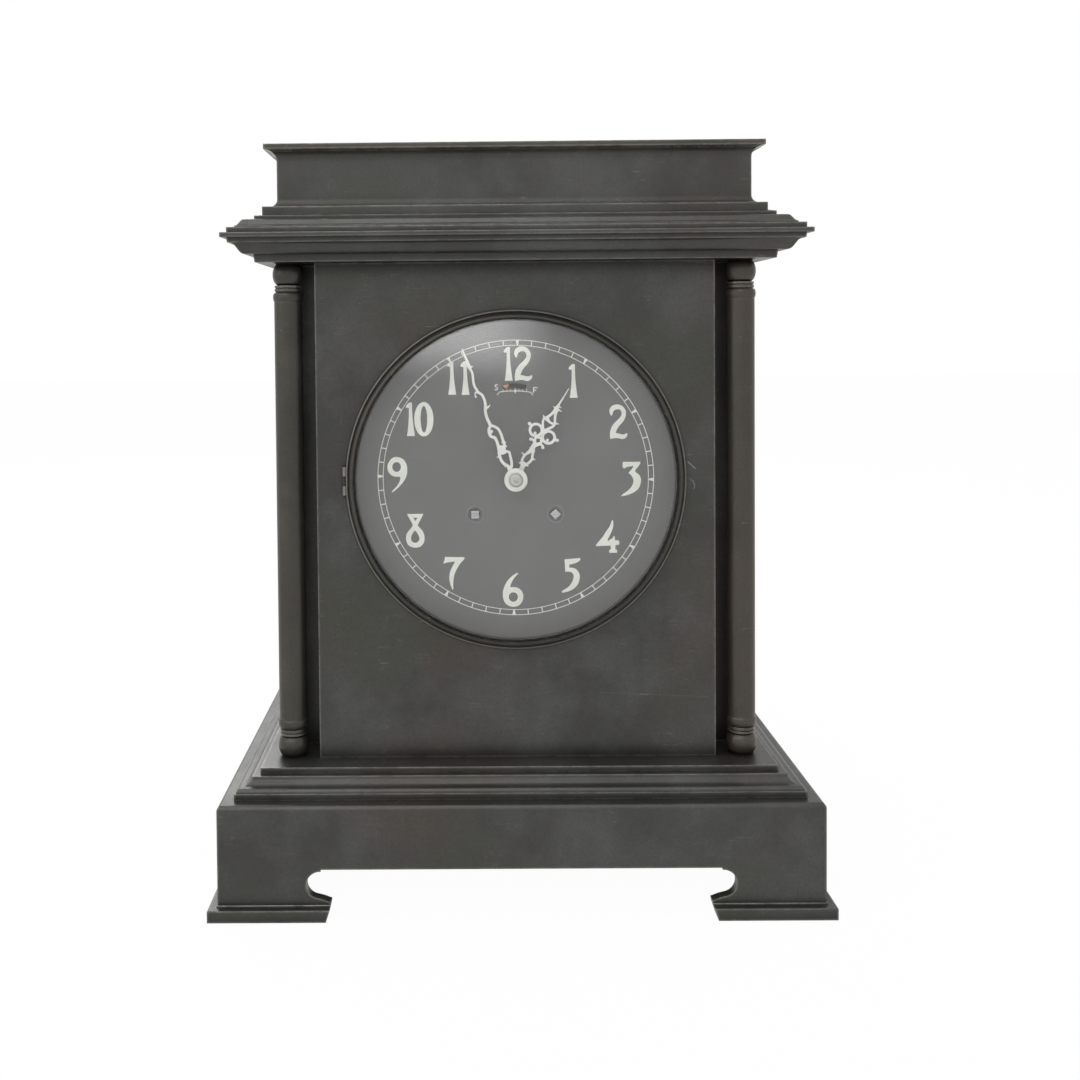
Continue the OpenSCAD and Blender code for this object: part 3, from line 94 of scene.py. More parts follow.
def shared_effect(name, inputs, outputs):
    """An empty node group with its named sockets."""
    group = bpy.data.node_groups.new(name, "ShaderNodeTree")
    for title, kind, value in inputs:
        socket = group.interface.new_socket(name=title, in_out="INPUT", socket_type=kind)
        socket.default_value = value
    for title, kind in outputs:
        group.interface.new_socket(name=title, in_out="OUTPUT", socket_type=kind)
    return group, group.nodes.new("NodeGroupInput").outputs, group.nodes.new("NodeGroupOutput").inputs


def wear_and_shade_effect():
    """Where arrises are rubbed bright and given a painted highlight, where corners and recesses take painted
    shade, and a normal that rounds each arris.
    """
    floats = [("Width", "NodeSocketFloat", 0.001), ("Depth", "NodeSocketFloat", 0.003),
              ("Round", "NodeSocketFloat", 0.0006)]
    outputs = [("Rubbed_Highlight", "NodeSocketFloat"), ("Crevice_Shade", "NodeSocketFloat"),
               ("Normal", "NodeSocketVector")]
    group, given, result = shared_effect("wear_and_painted_shade", floats, outputs)
    inner = wire(group, "AmbientOcclusion", {"Distance": given["Width"]},
                 samples=6, inside=True, only_local=True)
    outer = wire(group, "AmbientOcclusion", {"Distance": given["Depth"]}, samples=6)
    rounded = wire(group, "Bevel", {"Radius": given["Round"]}, samples=6)
    # Inside occlusion finds convex arrises for rubbed wear with a painted highlight; outside occlusion finds
    # hollows for painted shade
    group.links.new(remap(group, inner.outputs["AO"], 0.93, 0.55), result["Rubbed_Highlight"])
    group.links.new(remap(group, outer.outputs["AO"], 0.85, 0.35), result["Crevice_Shade"])
    group.links.new(rounded.outputs[0], result["Normal"])
    return group


def mottle_effect():
    """Soft clouds of the given size, as a mask between two levels of the noise."""
    floats = [("Size", "NodeSocketFloat", 0.03), ("Shift", "NodeSocketFloat", 0.0),
              ("Low", "NodeSocketFloat", 0.4), ("High", "NodeSocketFloat", 0.6)]
    group, given, result = shared_effect("mottle", floats, [("Mask", "NodeSocketFloat")])
    place = wire(group, "TexCoord").outputs["Object"]
    shift = wire(group, "CombineXYZ", {0: given["Shift"], 2: given["Shift"]}).outputs[0]
    moved = wire(group, "VectorMath", {0: place, 1: shift}, operation="ADD").outputs[0]
    scale = maths(group, "DIVIDE", 1.0, given["Size"])
    clouds = wire(group, "TexNoise", {"Vector": moved, "Scale": scale, "Detail": 6.0, "Roughness": 0.6})
    group.links.new(remap(group, clouds.outputs[0], given["Low"], given["High"]), result["Mask"])
    return group


def hairline_effect():
    """Thin wandering lines, as handling leaves them, drawn where stretched noise crosses its middle."""
    sockets = [("Stretch", "NodeSocketVector", (40.0, 40.0, 400.0)), ("Fineness", "NodeSocketFloat", 0.006)]
    group, given, result = shared_effect("hairlines", sockets, [("Mask", "NodeSocketFloat")])
    place = wire(group, "TexCoord").outputs["Object"]
    drawn = wire(group, "VectorMath", {0: place, 1: given["Stretch"]}, operation="MULTIPLY").outputs[0]
    noise = wire(group, "TexNoise", {"Vector": drawn, "Scale": 1.0, "Detail": 2.0}).outputs[0]
    away = maths(group, "ABSOLUTE", maths(group, "SUBTRACT", noise, 0.5))
    line = remap(group, away, given["Fineness"], 0.0)
    broken = wire(group, "TexNoise", {"Vector": place, "Scale": 90.0, "Detail": 1.0}).outputs[0]
    group.links.new(maths(group, "MULTIPLY", line, remap(group, broken, 0.52, 0.62)), result["Mask"])
    return group


def scratch_effect():
    """One thin scratch along a straight line between two points of the clock's frame."""
    sockets = [("Start", "NodeSocketVector", (0.0, 0.0, 0.0)),
               ("End", "NodeSocketVector", (0.01, 0.0, 0.0)), ("Width", "NodeSocketFloat", 0.0004)]
    group, given, result = shared_effect("scratch", sockets, [("Mask", "NodeSocketFloat")])
    place = wire(group, "TexCoord").outputs["Object"]
    here = wire(group, "VectorMath", {0: place, 1: given["Start"]}, operation="SUBTRACT").outputs[0]
    whole = wire(group, "VectorMath", {0: given["End"], 1: given["Start"]}, operation="SUBTRACT").outputs[0]
    reach = wire(group, "VectorMath", {0: here, 1: whole}, operation="DOT_PRODUCT").outputs["Value"]
    length = wire(group, "VectorMath", {0: whole, 1: whole}, operation="DOT_PRODUCT").outputs["Value"]
    along = wire(group, "Math", {0: reach, 1: length}, operation="DIVIDE", use_clamp=True).outputs[0]
    nearest = wire(group, "VectorMath", {0: whole, "Scale": along}, operation="SCALE").outputs[0]
    away = wire(group, "VectorMath", {0: here, 1: nearest}, operation="DISTANCE").outputs["Value"]
    group.links.new(remap(group, maths(group, "DIVIDE", away, given["Width"]), 1.0, 0.0), result["Mask"])
    return group


WEAR_AND_SHADE = wear_and_shade_effect()
MOTTLE = mottle_effect()
HAIRLINES = hairline_effect()
SCRATCH = scratch_effect()


def use(tree, group, **inputs):
    """Places a shared effect in a finish, with its own values, and gives its outputs."""
    node = tree.nodes.new("ShaderNodeGroup")
    node.node_tree = group
    for name, value in inputs.items():
        node.inputs[name].default_value = value
    return node.outputs


def new_finish(name):
    """A new material, with its nodes and its shader."""
    material = bpy.data.materials.new(name)
    material.use_nodes = True
    tree = material.node_tree
    return material, tree, tree.nodes["Principled BSDF"]


def bumped(tree, height, depth, normal=None):
    """A normal that follows a height of the given depth in metres."""
    inputs = {"Height": height, "Distance": depth, "Strength": 1.0}
    if normal is not None:
        inputs["Normal"] = normal
    return wire(tree, "Bump", inputs).outputs[0]


# Colours of the bronze's patina, wear, painted shade and painted highlight, beside the two tones that each
# finish gives it
REDDISH = (0.074, 0.059, 0.050, 1)
OLIVE = (0.055, 0.059, 0.047, 1)
PORES = (0.032, 0.030, 0.027, 1)
# Painted shade, nearly black, for corners and recesses
PAINTED_CREVICE_SHADE = (0.010, 0.0095, 0.0085, 1)
# Painted shade for the bezel ring next to the glass
GLASS_EDGE_SHADE = (0.012, 0.011, 0.010, 1)
# Painted highlight for the bezel's outer bead
BEAD_HIGHLIGHT = (0.23, 0.22, 0.20, 1)
BARE_COPPER = (0.26, 0.125, 0.07, 1)
HANDLING_LINE = (0.20, 0.18, 0.15, 1)
BARE_SCRATCH = (0.42, 0.41, 0.37, 1)
# Scratches on the front panel: (x, z) of both ends in the clock's frame, width, and strength up to 1
PANEL_SCRATCHES = [
    ((81.2, 202.3), (84.7, 199.1), 0.4, 0.45), ((82.0, 194.2), (83.5, 193.3), 0.4, 0.2),
    ((83.5, 193.3), (84.2, 191.6), 0.4, 0.3), ((84.2, 191.6), (84.2, 190.1), 0.4, 0.25),
    ((84.2, 190.1), (83.5, 189.5), 0.4, 0.15), ((39.2, 93.0), (91.4, 90.6), 0.3, 0.06),
    ((58.0, 92.2), (61.9, 92.0), 0.32, 0.2),
]


def part_of(tree, share, mask):
    """A mask brought down to a share of its strength."""
    return maths(tree, "MULTIPLY", mask, share)


def bezel_zones(tree, colour, rubbed, glass_edge, bead_start, bead_end):
    """Paints shade on a ring round the dial next to the glass, paints a highlight on its outer bead and
    keeps its wear there.
    """
    place = wire(tree, "TexCoord").outputs["Object"]
    flat = wire(tree, "VectorMath", {0: place, 1: (1, 0, 1)}, operation="MULTIPLY").outputs[0]
    middle = (0, 0, DIAL_UP * MM)
    away = wire(tree, "VectorMath", {0: flat, 1: middle}, operation="DISTANCE").outputs["Value"]
    on_bead = remap(tree, away, (bead_start - 0.4) * MM, bead_start * MM, 0.25, 1.0)
    rubbed = maths(tree, "MULTIPLY", rubbed, on_bead)
    # Painted shade on the ring next to the glass
    shade_by_glass = remap(tree, away, (glass_edge + 0.9) * MM, glass_edge * MM)
    colour = mixed(tree, shade_by_glass, colour, GLASS_EDGE_SHADE)
    # Painted highlight along the outer bead
    rising = remap(tree, away, bead_start * MM, (bead_start + 0.6) * MM, 0.0, 0.6)
    ending = remap(tree, away, (bead_end + 0.3) * MM, bead_end * MM)
    return mixed(tree, maths(tree, "MULTIPLY", rising, ending), colour, BEAD_HIGHLIGHT), rubbed


def bronze_finish(name, dark=(0.050, 0.0490, 0.0465), light=(0.083, 0.0835, 0.082), worn_highlight=(0.34, 0.325, 0.29),
                  wear=0.0011, shade_reach=0.011, ring=None, scratched=()):
    """Cast bronze under a dark patina, redder and greener in patches, rubbed along its arrises with a
    painted highlight there, and with painted shade in its corners and recesses.
    """
    material, tree, shader = new_finish(name)
    edges = use(tree, WEAR_AND_SHADE, Width=wear, Depth=shade_reach, Round=0.0004)
    clouds = use(tree, MOTTLE, Size=0.045, Low=0.36, High=0.66)["Mask"]
    red = use(tree, MOTTLE, Size=0.07, Shift=0.7, Low=0.46, High=0.68)["Mask"]
    green = use(tree, MOTTLE, Size=0.09, Shift=2.3, Low=0.44, High=0.64)["Mask"]
    grain = use(tree, MOTTLE, Size=0.0011, Low=0.25, High=0.75)["Mask"]
    ripple = use(tree, MOTTLE, Size=0.012, Shift=4.0, Low=0.2, High=0.8)["Mask"]
    broken = use(tree, MOTTLE, Size=0.006, Shift=1.3, Low=0.34, High=0.6)["Mask"]
    flecks = use(tree, MOTTLE, Size=0.0032, Shift=3.1, Low=0.63, High=0.70)["Mask"]
    level = use(tree, HAIRLINES, Stretch=(16.0, 16.0, 260.0), Fineness=0.0035)["Mask"]
    steep = use(tree, HAIRLINES, Stretch=(210.0, 160.0, 30.0), Fineness=0.003)["Mask"]
    lines = maths(tree, "MAXIMUM", level, part_of(tree, 0.6, steep))
    colour = mixed(tree, clouds, (*dark, 1), (*light, 1))
    colour = mixed(tree, part_of(tree, 0.7, red), colour, REDDISH)
    colour = mixed(tree, part_of(tree, 0.7, green), colour, OLIVE)
    colour = mixed(tree, part_of(tree, 0.30, grain), colour, PORES)
    # Painted shade: corners and recesses are darkened almost to black
    colour = mixed(tree, part_of(tree, 0.92, edges["Crevice_Shade"]), colour, PAINTED_CREVICE_SHADE)
    rubbed = maths(tree, "MULTIPLY", edges["Rubbed_Highlight"], remap(tree, broken, 0.0, 1.0, 0.45, 1.0))
    if ring:
        colour, rubbed = bezel_zones(tree, colour, rubbed, *ring)
    # Arrises lightened: rubbed wear with a painted highlight
    colour = mixed(tree, part_of(tree, 0.4, rubbed), colour, (*worn_highlight, 1))
    # Small copper-red spots show through where an arris is rubbed
    bare = maths(tree, "MULTIPLY", flecks, part_of(tree, 0.8, edges["Rubbed_Highlight"]))
    colour = mixed(tree, bare, colour, BARE_COPPER)
    colour = mixed(tree, part_of(tree, 0.35, lines), colour, HANDLING_LINE)
    for start, end, width, strength in scratched:
        ends = [(x * MM, -MIDDLE * MM, z * MM) for x, z in (start, end)]
        mark = use(tree, SCRATCH, Start=ends[0], End=ends[1], Width=width * MM)["Mask"]
        colour = mixed(tree, part_of(tree, strength, mark), colour, BARE_SCRATCH)
    rough = remap(tree, clouds, 0.0, 1.0, 0.35, 0.44)
    rough = maths(tree, "ADD", rough, part_of(tree, 0.05, grain))
    rough = maths(tree, "SUBTRACT", rough, part_of(tree, 0.12, rubbed))
    tree.links.new(colour, shader.inputs["Base Color"])
    tree.links.new(rough, shader.inputs["Roughness"])
    normal = bumped(tree, ripple, 0.00006, edges["Normal"])
    tree.links.new(bumped(tree, grain, 0.000012, normal), shader.inputs["Normal"])
    shader.inputs["Metallic"].default_value = 0.6
    return material


def toned(colour, share):
    """A colour darkened to a share of itself, as four values."""
    return (*[value * share for value in colour], 1)


def worked_metal(name, colour, dull, bright, metallic=1.0, rough=0.28, width=0.0008):
    """Metal that was filed and polished: fine lines of working, duller clouds, brighter arrises that are
    rubbed and carry a painted highlight, and painted shade in its crevices.
    """
    material, tree, shader = new_finish(name)
    edges = use(tree, WEAR_AND_SHADE, Width=width, Depth=3 * width, Round=0.00022)
    clouds = use(tree, MOTTLE, Size=0.014, Low=0.38, High=0.7)["Mask"]
    spots = use(tree, MOTTLE, Size=0.0025, Shift=1.1, Low=0.6, High=0.75)["Mask"]
    place = wire(tree, "TexCoord").outputs["Object"]
    drawn = wire(tree, "Mapping", {"Vector": place, "Scale": (30.0, 900.0, 900.0)}).outputs[0]
    strokes = wire(tree, "TexNoise", {"Vector": drawn, "Scale": 1.0, "Detail": 3.0}).outputs[0]
    tone = mixed(tree, clouds, (*colour, 1), (*dull, 1))
    tone = mixed(tree, part_of(tree, 0.5, spots), tone, toned(dull, 0.7))
    # Painted shade in the crevices
    tone = mixed(tree, part_of(tree, 0.4, edges["Crevice_Shade"]), tone, toned(dull, 0.35))
    # Arrises lightened: rubbed wear with a painted highlight
    tone = mixed(tree, part_of(tree, 0.6, edges["Rubbed_Highlight"]), tone, (*bright, 1))
    shade = remap(tree, strokes, 0.3, 0.7, rough - 0.06, rough + 0.06)
    shade = maths(tree, "ADD", shade, part_of(tree, 0.10, clouds))
    tree.links.new(tone, shader.inputs["Base Color"])
    tree.links.new(shade, shader.inputs["Roughness"])
    tree.links.new(bumped(tree, strokes, 0.000006, edges["Normal"]), shader.inputs["Normal"])
    shader.inputs["Metallic"].default_value = metallic
    return material


def dial_finish():
    """Satin black dial with a faint grain and a few paler rubs."""
    material, tree, shader = new_finish("satin_black_dial")
    clouds = use(tree, MOTTLE, Size=0.03, Shift=0.4, Low=0.35, High=0.7)["Mask"]
    grain = use(tree, MOTTLE, Size=0.0009, Low=0.3, High=0.7)["Mask"]
    rubs = use(tree, HAIRLINES, Stretch=(60.0, 60.0, 90.0), Fineness=0.002)["Mask"]
    colour = mixed(tree, clouds, (0.074, 0.070, 0.067, 1), (0.092, 0.089, 0.086, 1))
    colour = mixed(tree, part_of(tree, 0.12, grain), colour, (0.050, 0.048, 0.045, 1))
    colour = mixed(tree, part_of(tree, 0.3, rubs), colour, (0.12, 0.115, 0.105, 1))
    tree.links.new(colour, shader.inputs["Base Color"])
    tree.links.new(remap(tree, clouds, 0.0, 1.0, 0.42, 0.52), shader.inputs["Roughness"])
    return material


def print_finish():
    """Ivory-white filling of the numerals, slightly uneven and aged."""
    material, tree, shader = new_finish("ivory_dial_marks")
    clouds = use(tree, MOTTLE, Size=0.006, Low=0.35, High=0.7)["Mask"]
    specks = use(tree, MOTTLE, Size=0.0007, Shift=0.9, Low=0.58, High=0.72)["Mask"]
    colour = mixed(tree, clouds, (0.74, 0.74, 0.66, 1), (0.82, 0.82, 0.74, 1))
    colour = mixed(tree, part_of(tree, 0.45, specks), colour, (0.42, 0.41, 0.35, 1))
    tree.links.new(colour, shader.inputs["Base Color"])
    tree.links.new(remap(tree, clouds, 0.0, 1.0, 0.5, 0.62), shader.inputs["Roughness"])
    tree.links.new(bumped(tree, specks, 0.00001), shader.inputs["Normal"])
    return material


def glass_finish():
    """Clear domed glass, with the faint film that dusting leaves; lamps shine through it."""
    material, tree, shader = new_finish("domed_clear_glass")
    film = use(tree, MOTTLE, Size=0.035, Shift=1.7, Low=0.4, High=0.75)["Mask"]
    tree.links.new(remap(tree, film, 0.0, 1.0, 0.004, 0.03), shader.inputs["Roughness"])
    shader.inputs["Base Color"].default_value = (0.97, 0.98, 0.98, 1)
    shader.inputs["Transmission Weight"].default_value = 1.0
    shader.inputs["IOR"].default_value = 1.52
    shader.inputs["Coat Weight"].default_value = 0.3
    shader.inputs["Coat Roughness"].default_value = 0.015
    light = wire(tree, "LightPath").outputs
    clear = wire(tree, "BsdfTransparent", {"Color": (0.96, 0.97, 0.97, 1)}).outputs[0]
    passing = maths(tree, "MAXIMUM", light["Is Shadow Ray"], light["Is Diffuse Ray"])
    surface = wire(tree, "MixShader", {0: passing, 1: shader.outputs[0], 2: clear}).outputs[0]
    tree.links.new(surface, tree.nodes["Material Output"].inputs["Surface"])
    return material


BRASS, BRIGHT_BRASS = (0.62, 0.43, 0.17), (0.82, 0.62, 0.30)
STEEL, BRIGHT_STEEL = (0.44, 0.45, 0.46), (0.62, 0.63, 0.64)
# A ring's glass edge, and the start and end of its outer bead, as distances from the middle of the dial
BEZEL_ZONES = (76.4, 79.4, 81.05)
FINISHES = {
    "case_bronze": bronze_finish("patinated_bronze"),
    "panel_bronze": bronze_finish("scratched_bronze", scratched=PANEL_SCRATCHES),
    "bezel_bronze": bronze_finish("brown_bronze", (0.056, 0.051, 0.044), (0.080, 0.074, 0.064),
                                  ring=BEZEL_ZONES),
    "column_bronze": bronze_finish("umber_bronze", (0.050, 0.046, 0.038), (0.074, 0.068, 0.056),
                                   shade_reach=0.003),
    "hinge_bronze": bronze_finish("dark_bronze", (0.046, 0.040, 0.034), (0.064, 0.058, 0.052),
                                  worn_highlight=(0.09, 0.08, 0.07), wear=0.0003),
    "movement_brass": worked_metal("dulled_movement_brass", BRASS, (0.44, 0.29, 0.11), BRIGHT_BRASS),
    "door_brass": worked_metal("rear_door_brass", (0.56, 0.395, 0.16), (0.50, 0.345, 0.14),
                               (0.76, 0.58, 0.29)),
    "movement_steel": worked_metal("bright_movement_steel", STEEL, (0.33, 0.33, 0.32), BRIGHT_STEEL),
    "blued_steel": worked_metal("blued_spring_steel", (0.045, 0.085, 0.21), (0.10, 0.075, 0.13),
                                (0.20, 0.26, 0.38), rough=0.22),
    "dial_black": dial_finish(),
    "hand_silver": worked_metal("silvered_hands", (0.80, 0.79, 0.74), (0.70, 0.69, 0.63), (0.88, 0.88, 0.84),
                                metallic=0.55, rough=0.42, width=0.0002),
    "dull_silver": worked_metal("dull_silver", (0.56, 0.55, 0.50), (0.44, 0.43, 0.39), (0.72, 0.71, 0.65),
                                metallic=0.55, rough=0.42, width=0.0002),
    "pointer_copper": worked_metal("copper_pointer", (0.50, 0.24, 0.12), (0.34, 0.16, 0.09),
                                   (0.66, 0.38, 0.22), width=0.0003),
    "dome_glass": glass_finish(),
    "black_iron": worked_metal("japanned_iron", (0.030, 0.030, 0.030), (0.045, 0.042, 0.038),
                               (0.11, 0.10, 0.09), metallic=0.2, rough=0.38),
    "dial_marks": print_finish(),
    "dial_lip": worked_metal("rubbed_dial_lip", (0.16, 0.155, 0.14), (0.10, 0.095, 0.085),
                             (0.30, 0.29, 0.26), metallic=0.6, rough=0.35),
}
# Nodes whose finish differs from that of their material slot
OWN_FINISHES = {"front_panel": "panel_bronze", "bezel_ring": "bezel_bronze", "bezel_hinge": "hinge_bronze",
                "rear_door": "door_brass", "column_left": "column_bronze", "column_right": "column_bronze",
                "top_cap": "column_bronze"}
for sub in frame["record"]["subparts"]:
    mesh = parts[sub["node"]].data
    mesh.materials.clear()
    mesh.materials.append(FINISHES[OWN_FINISHES.get(sub["node"], sub["material_slot"])])


# Making of pieces


def finish_piece(name, bm, body, finish, smooth=None):
    """Turns a bmesh into a piece in the clock's frame, with its finish, riding on a body."""
    mesh = bpy.data.meshes.new(name)
    bm.to_mesh(mesh)
    bm.free()
    piece = bpy.data.objects.new(name, mesh)
    bpy.context.scene.collection.objects.link(piece)
    mesh.materials.append(FINISHES[finish])
    if smooth is not None:
        mesh.shade_smooth()
        mesh.set_sharp_from_angle(angle=radians(smooth))
    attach(piece, body)
    return piece


def spun(profile, steps=128, middle=(0.0, 0.0), closed=True):
    """A profile of (radius, y) points spun round a line square to the dial; an open one ends on it."""
    bm = bmesh.new()
    centre = at_dial(middle[0], 0, middle[1])
    corners = [bm.verts.new(at_dial(middle[0] + r, y, middle[1])) for r, y in profile]
    rim = [bm.edges.new((a, b)) for a, b in zip(corners, corners[1:] + corners[:1] * closed)]
    bmesh.ops.spin(bm, geom=corners + rim, cent=centre, axis=(0, 1, 0), angle=2 * pi,
                   steps=steps, use_merge=True)
    bmesh.ops.remove_doubles(bm, verts=bm.verts, dist=1e-6)
    bmesh.ops.recalc_face_normals(bm, faces=bm.faces)
    return bm


def arc_points(centre, radius, start, end, count):
    """Points of (radius, y) along an arc, with its angles in degrees."""
    turns = [radians(start + (end - start) * i / count) for i in range(count + 1)]
    return [(centre[0] + radius * cos(t), centre[1] + radius * sin(t)) for t in turns]


def eased(a, b, lead_in, lead_out, steps):
    """Points on a curve from a up to b, which leaves and arrives along the two leads."""
    shares = [step / steps for step in range(steps)]
    return [a * (2 * t**3 - 3 * t**2 + 1) + lead_in * (t**3 - 2 * t**2 + t)
            + b * (3 * t**2 - 2 * t**3) + lead_out * (t**3 - t**2) for t in shares]


def rounded_outline(points, corner=52, steps=4):
    """The outline with its curves eased between the points, and corners over the given angle kept sharp."""
    count = len(points)
    spots = [Vector(p) for p in points]

    def is_sharp(i):
        """Whether the outline turns by more than the given angle at a point, or stands still there."""
        before, after = spots[i % count] - spots[i - 1], spots[(i + 1) % count] - spots[i % count]
        return before.length < 1e-9 or after.length < 1e-9 or before.angle(after) > radians(corner)

    line = []
    for i in range(count):
        a, b = spots[i], spots[(i + 1) % count]
        lead_in = (b - a) if is_sharp(i) else (b - spots[i - 1]) / 2
        lead_out = (b - a) if is_sharp((i + 1) % count) else (spots[(i + 2) % count] - a) / 2
        line += eased(a, b, lead_in, lead_out, steps)
    return [(p.x, p.y) for p in line]


def ellipse(centre, half_x, half_z, count=40):
    """The outline of an ellipse, or of a circle where both halves are alike."""
    turns = [2 * pi * i / count for i in range(count)]
    return [(centre[0] + half_x * cos(t), centre[1] + half_z * sin(t)) for t in turns]


def fill_mark(bm, loops, back, front):
    """A flat mark on the dial: an outline with any holes, filled and given its thickness."""
    edges = []
    for loop in loops:
        ring = [bm.verts.new(at_dial(x, back, z)) for x, z in loop]
        edges += [bm.edges.new((a, b)) for a, b in zip(ring, ring[1:] + ring[:1])]
    filled = bmesh.ops.triangle_fill(bm, use_beauty=True, edges=edges, normal=(0, -1, 0))
    faces = [f for f in filled["geom"] if isinstance(f, bmesh.types.BMFace)]
    raised = bmesh.ops.extrude_face_region(bm, geom=faces, use_keep_orig=True)
    top = [v for v in raised["geom"] if isinstance(v, bmesh.types.BMVert)]
    bmesh.ops.translate(bm, verts=top, vec=(0, (front - back) * MM, 0))


def close_marks(bm):
    """Merges the doubles of a set of marks and turns its faces outwards."""
    bmesh.ops.remove_doubles(bm, verts=bm.verts, dist=1e-7)
    bmesh.ops.recalc_face_normals(bm, faces=bm.faces)
    return bm


# The numerals as outlines of (x, z) points from the middle of the dial
ONE = [(-1.95, 0), (-1.85, .4), (-1.4, 3.5), (-.95, 8.6), (-.9, 13.4), (-2.2, 13.5), (-2.25, 14.4),
       (-.75, 16), (.65, 16.05), (.65, 13.6), (.85, 8.6), (1.4, 3.5), (1.85, .4), (1.95, 0)]
TWO = [(45.15, 29.2), (44.3, 30.6), (44.2, 31.9), (44.6, 33.2), (45.8, 34.3), (47.7, 34.8), (49.6, 34.4),
       (51.1, 33.2), (52, 31.6), (52, 29.7), (51.4, 27.8), (50.2, 26), (48.9, 24.6), (47.7, 22.8),
       (47.1, 21.1), (48.4, 20.9), (49.9, 20.5), (51.4, 20.5), (52.4, 21.1), (52.8, 20.6), (52.4, 19.4),
       (51.4, 18.5), (49.9, 18.2), (48.1, 18.7), (46.1, 18.6), (44.6, 18.2), (44.4, 19.85), (44.5, 21.9),
       (45.2, 24), (46.5, 25.9), (48.1, 27.35), (49.5, 29), (50, 30.4), (49.6, 31.8), (48.7, 32.4),
       (47.6, 32.4), (46.5, 31.9), (45.9, 31.2), (45.6, 30.1)]
THREE = [(50.55, 7.3), (58.9, 7.3), (58.7, 6.4), (57.7, 4.9), (56.6, 3.6), (56.3, 2.55), (57.5, 1.7),
         (58.55, .5), (59.1, -1.3), (58.85, -3.3), (57.96, -5.4), (56.2, -7), (53.85, -8.2), (51.5, -8.9),
         (49.4, -9.2), (50.6, -8), (52.7, -6.6), (54.3, -4.95), (55.3, -3), (55.5, -1.6), (55, -.1),
         (54.3, .95), (53.1, 1.96), (54.1, 3.1), (55.2, 4.5), (55.55, 5.4), (53.85, 5.05), (52.4, 4.8),
         (51.05, 4), (50.3, 5.05)]
FOUR = [(45.6, -20.6), (45.8, -21.9), (45.7, -23.4), (45.3, -25.15), (44.4, -27.2), (43.7, -28.7),
        (42.9, -30), (43.3, -30.7), (44, -30), (45.3, -29.3), (46, -28.2), (46.5, -28.7), (46.5, -30.3),
        (48.2, -30.3), (48.6, -31), (48.5, -32.35), (46.8, -32.65), (46.6, -34.4), (47.5, -35),
        (47.5, -36.3), (43.8, -36.3), (43.7, -35.15), (44.6, -34.4), (44.4, -32.8), (37.5, -33.1),
        (37.5, -32.5), (39.1, -30.4), (40.6, -28.7), (42.35, -26), (43.97, -23.7), (45.1, -20.7)]
FIVE = [(22.35, -39.3), (29.7, -38.7), (30, -39.3), (29.3, -40.2), (27.8, -41.06), (25.7, -41.65),
        (24.7, -41.8), (24.56, -43.3), (26.3, -43.4), (27.8, -44), (28.97, -45.3), (29.6, -47.1),
        (29.4, -49.15), (28.7, -51.2), (27.2, -53), (25.15, -54.3), (23.1, -55), (21.3, -55.3), (20.9, -55),
        (21.6, -54.15), (23.4, -53.1), (24.85, -51.8), (26, -50), (26.6, -48.3), (26.6, -46.8),
        (25.9, -45.8), (24.85, -45.3), (22.65, -45.2), (22.56, -42.4)]
SIX = [(-.05, -45.5), (.1, -46.05), (-1.2, -47.4), (-2.4, -49), (-3.3, -50.8), (-3.8, -52.5),
       (-2.25, -52.5), (-.5, -52.7), (1.3, -53.85), (2.3, -55.5), (2.5, -57.2), (2.16, -59), (.98, -60.8),
       (-.5, -61.7), (-2.4, -62), (-4.3, -61.5), (-6.1, -60.2), (-7, -58.4), (-7.3, -56.05), (-7.1, -54),
       (-6.4, -51.9), (-5.2, -49.7), (-3.7, -47.96), (-1.96, -46.5)]
SEVEN = [(-34.9, -37.7), (-25.5, -37.9), (-25.7, -38.9), (-27.2, -40.4), (-28.4, -42.15), (-29.4, -43.9),
         (-30.3, -46), (-30.8, -48.3), (-31, -50.7), (-31, -53), (-31.3, -53.6), (-31.9, -52.4),
         (-32.6, -50.1), (-32.9, -48), (-32.7, -46), (-32.1, -43.9), (-31.2, -42.15), (-30.3, -40.4),
         (-30.3, -39.9), (-32.2, -40.15), (-34.3, -40.5), (-35.3, -41), (-35.7, -40.7), (-35.1, -39.2)]
EIGHT = [(-52.85, -16.9), (-44.9, -16.9), (-45.35, -17.7), (-46.5, -19.8), (-47.4, -21.56), (-47.85, -22.4),
         (-46.8, -23.6), (-45.5, -25.1), (-44.7, -27.15), (-44.6, -28.9), (-44.9, -30.7), (-46.1, -32.3),
         (-47.56, -33), (-49.3, -33.1), (-51.1, -32.7), (-52.56, -31.56), (-53.4, -29.5), (-53.3, -27.15),
         (-52.4, -25.4), (-51.1, -23.9), (-50.15, -22.6), (-50.5, -21.4), (-51.5, -19.5), (-52.4, -17.9)]
EIGHT_DROP = [(-49.1, -24.8), (-47.7, -26.56), (-47, -28.6), (-47.4, -29.9), (-48.4, -30.7), (-49.9, -30.6),
              (-50.85, -29.65), (-51, -28), (-50.35, -26.4)]
NINE = [(-57.8, 10.5), (-55.7, 10.1), (-53.9, 8.8), (-52.8, 6.7), (-52.5, 4.65), (-52.7, 2.3),
        (-53.5, -.05), (-55.1, -2.26), (-56.9, -4.2), (-58.6, -5.6), (-59.7, -6.5), (-60, -6.1),
        (-58.6, -4.6), (-57.2, -3), (-56.1, -.9), (-55.8, .98), (-58.05, 1.06), (-59.8, 1.56), (-61.4, 3.2),
        (-62, 5.2), (-61.7, 7.3), (-60.55, 9.2), (-59.2, 10.2)]
# The print sits this far to the right and down of the points above
PRINT_SHIFT = (1.07, -0.3)
# The marks reach a little into the dial and stand a little out of it
INK_BACK, INK_FRONT = DIAL_FACE + 0.02, DIAL_FACE - 0.07


def shifted(points, by):
    """The points moved by the given (x, z)."""
    return [(x + by[0], z + by[1]) for x, z in points]


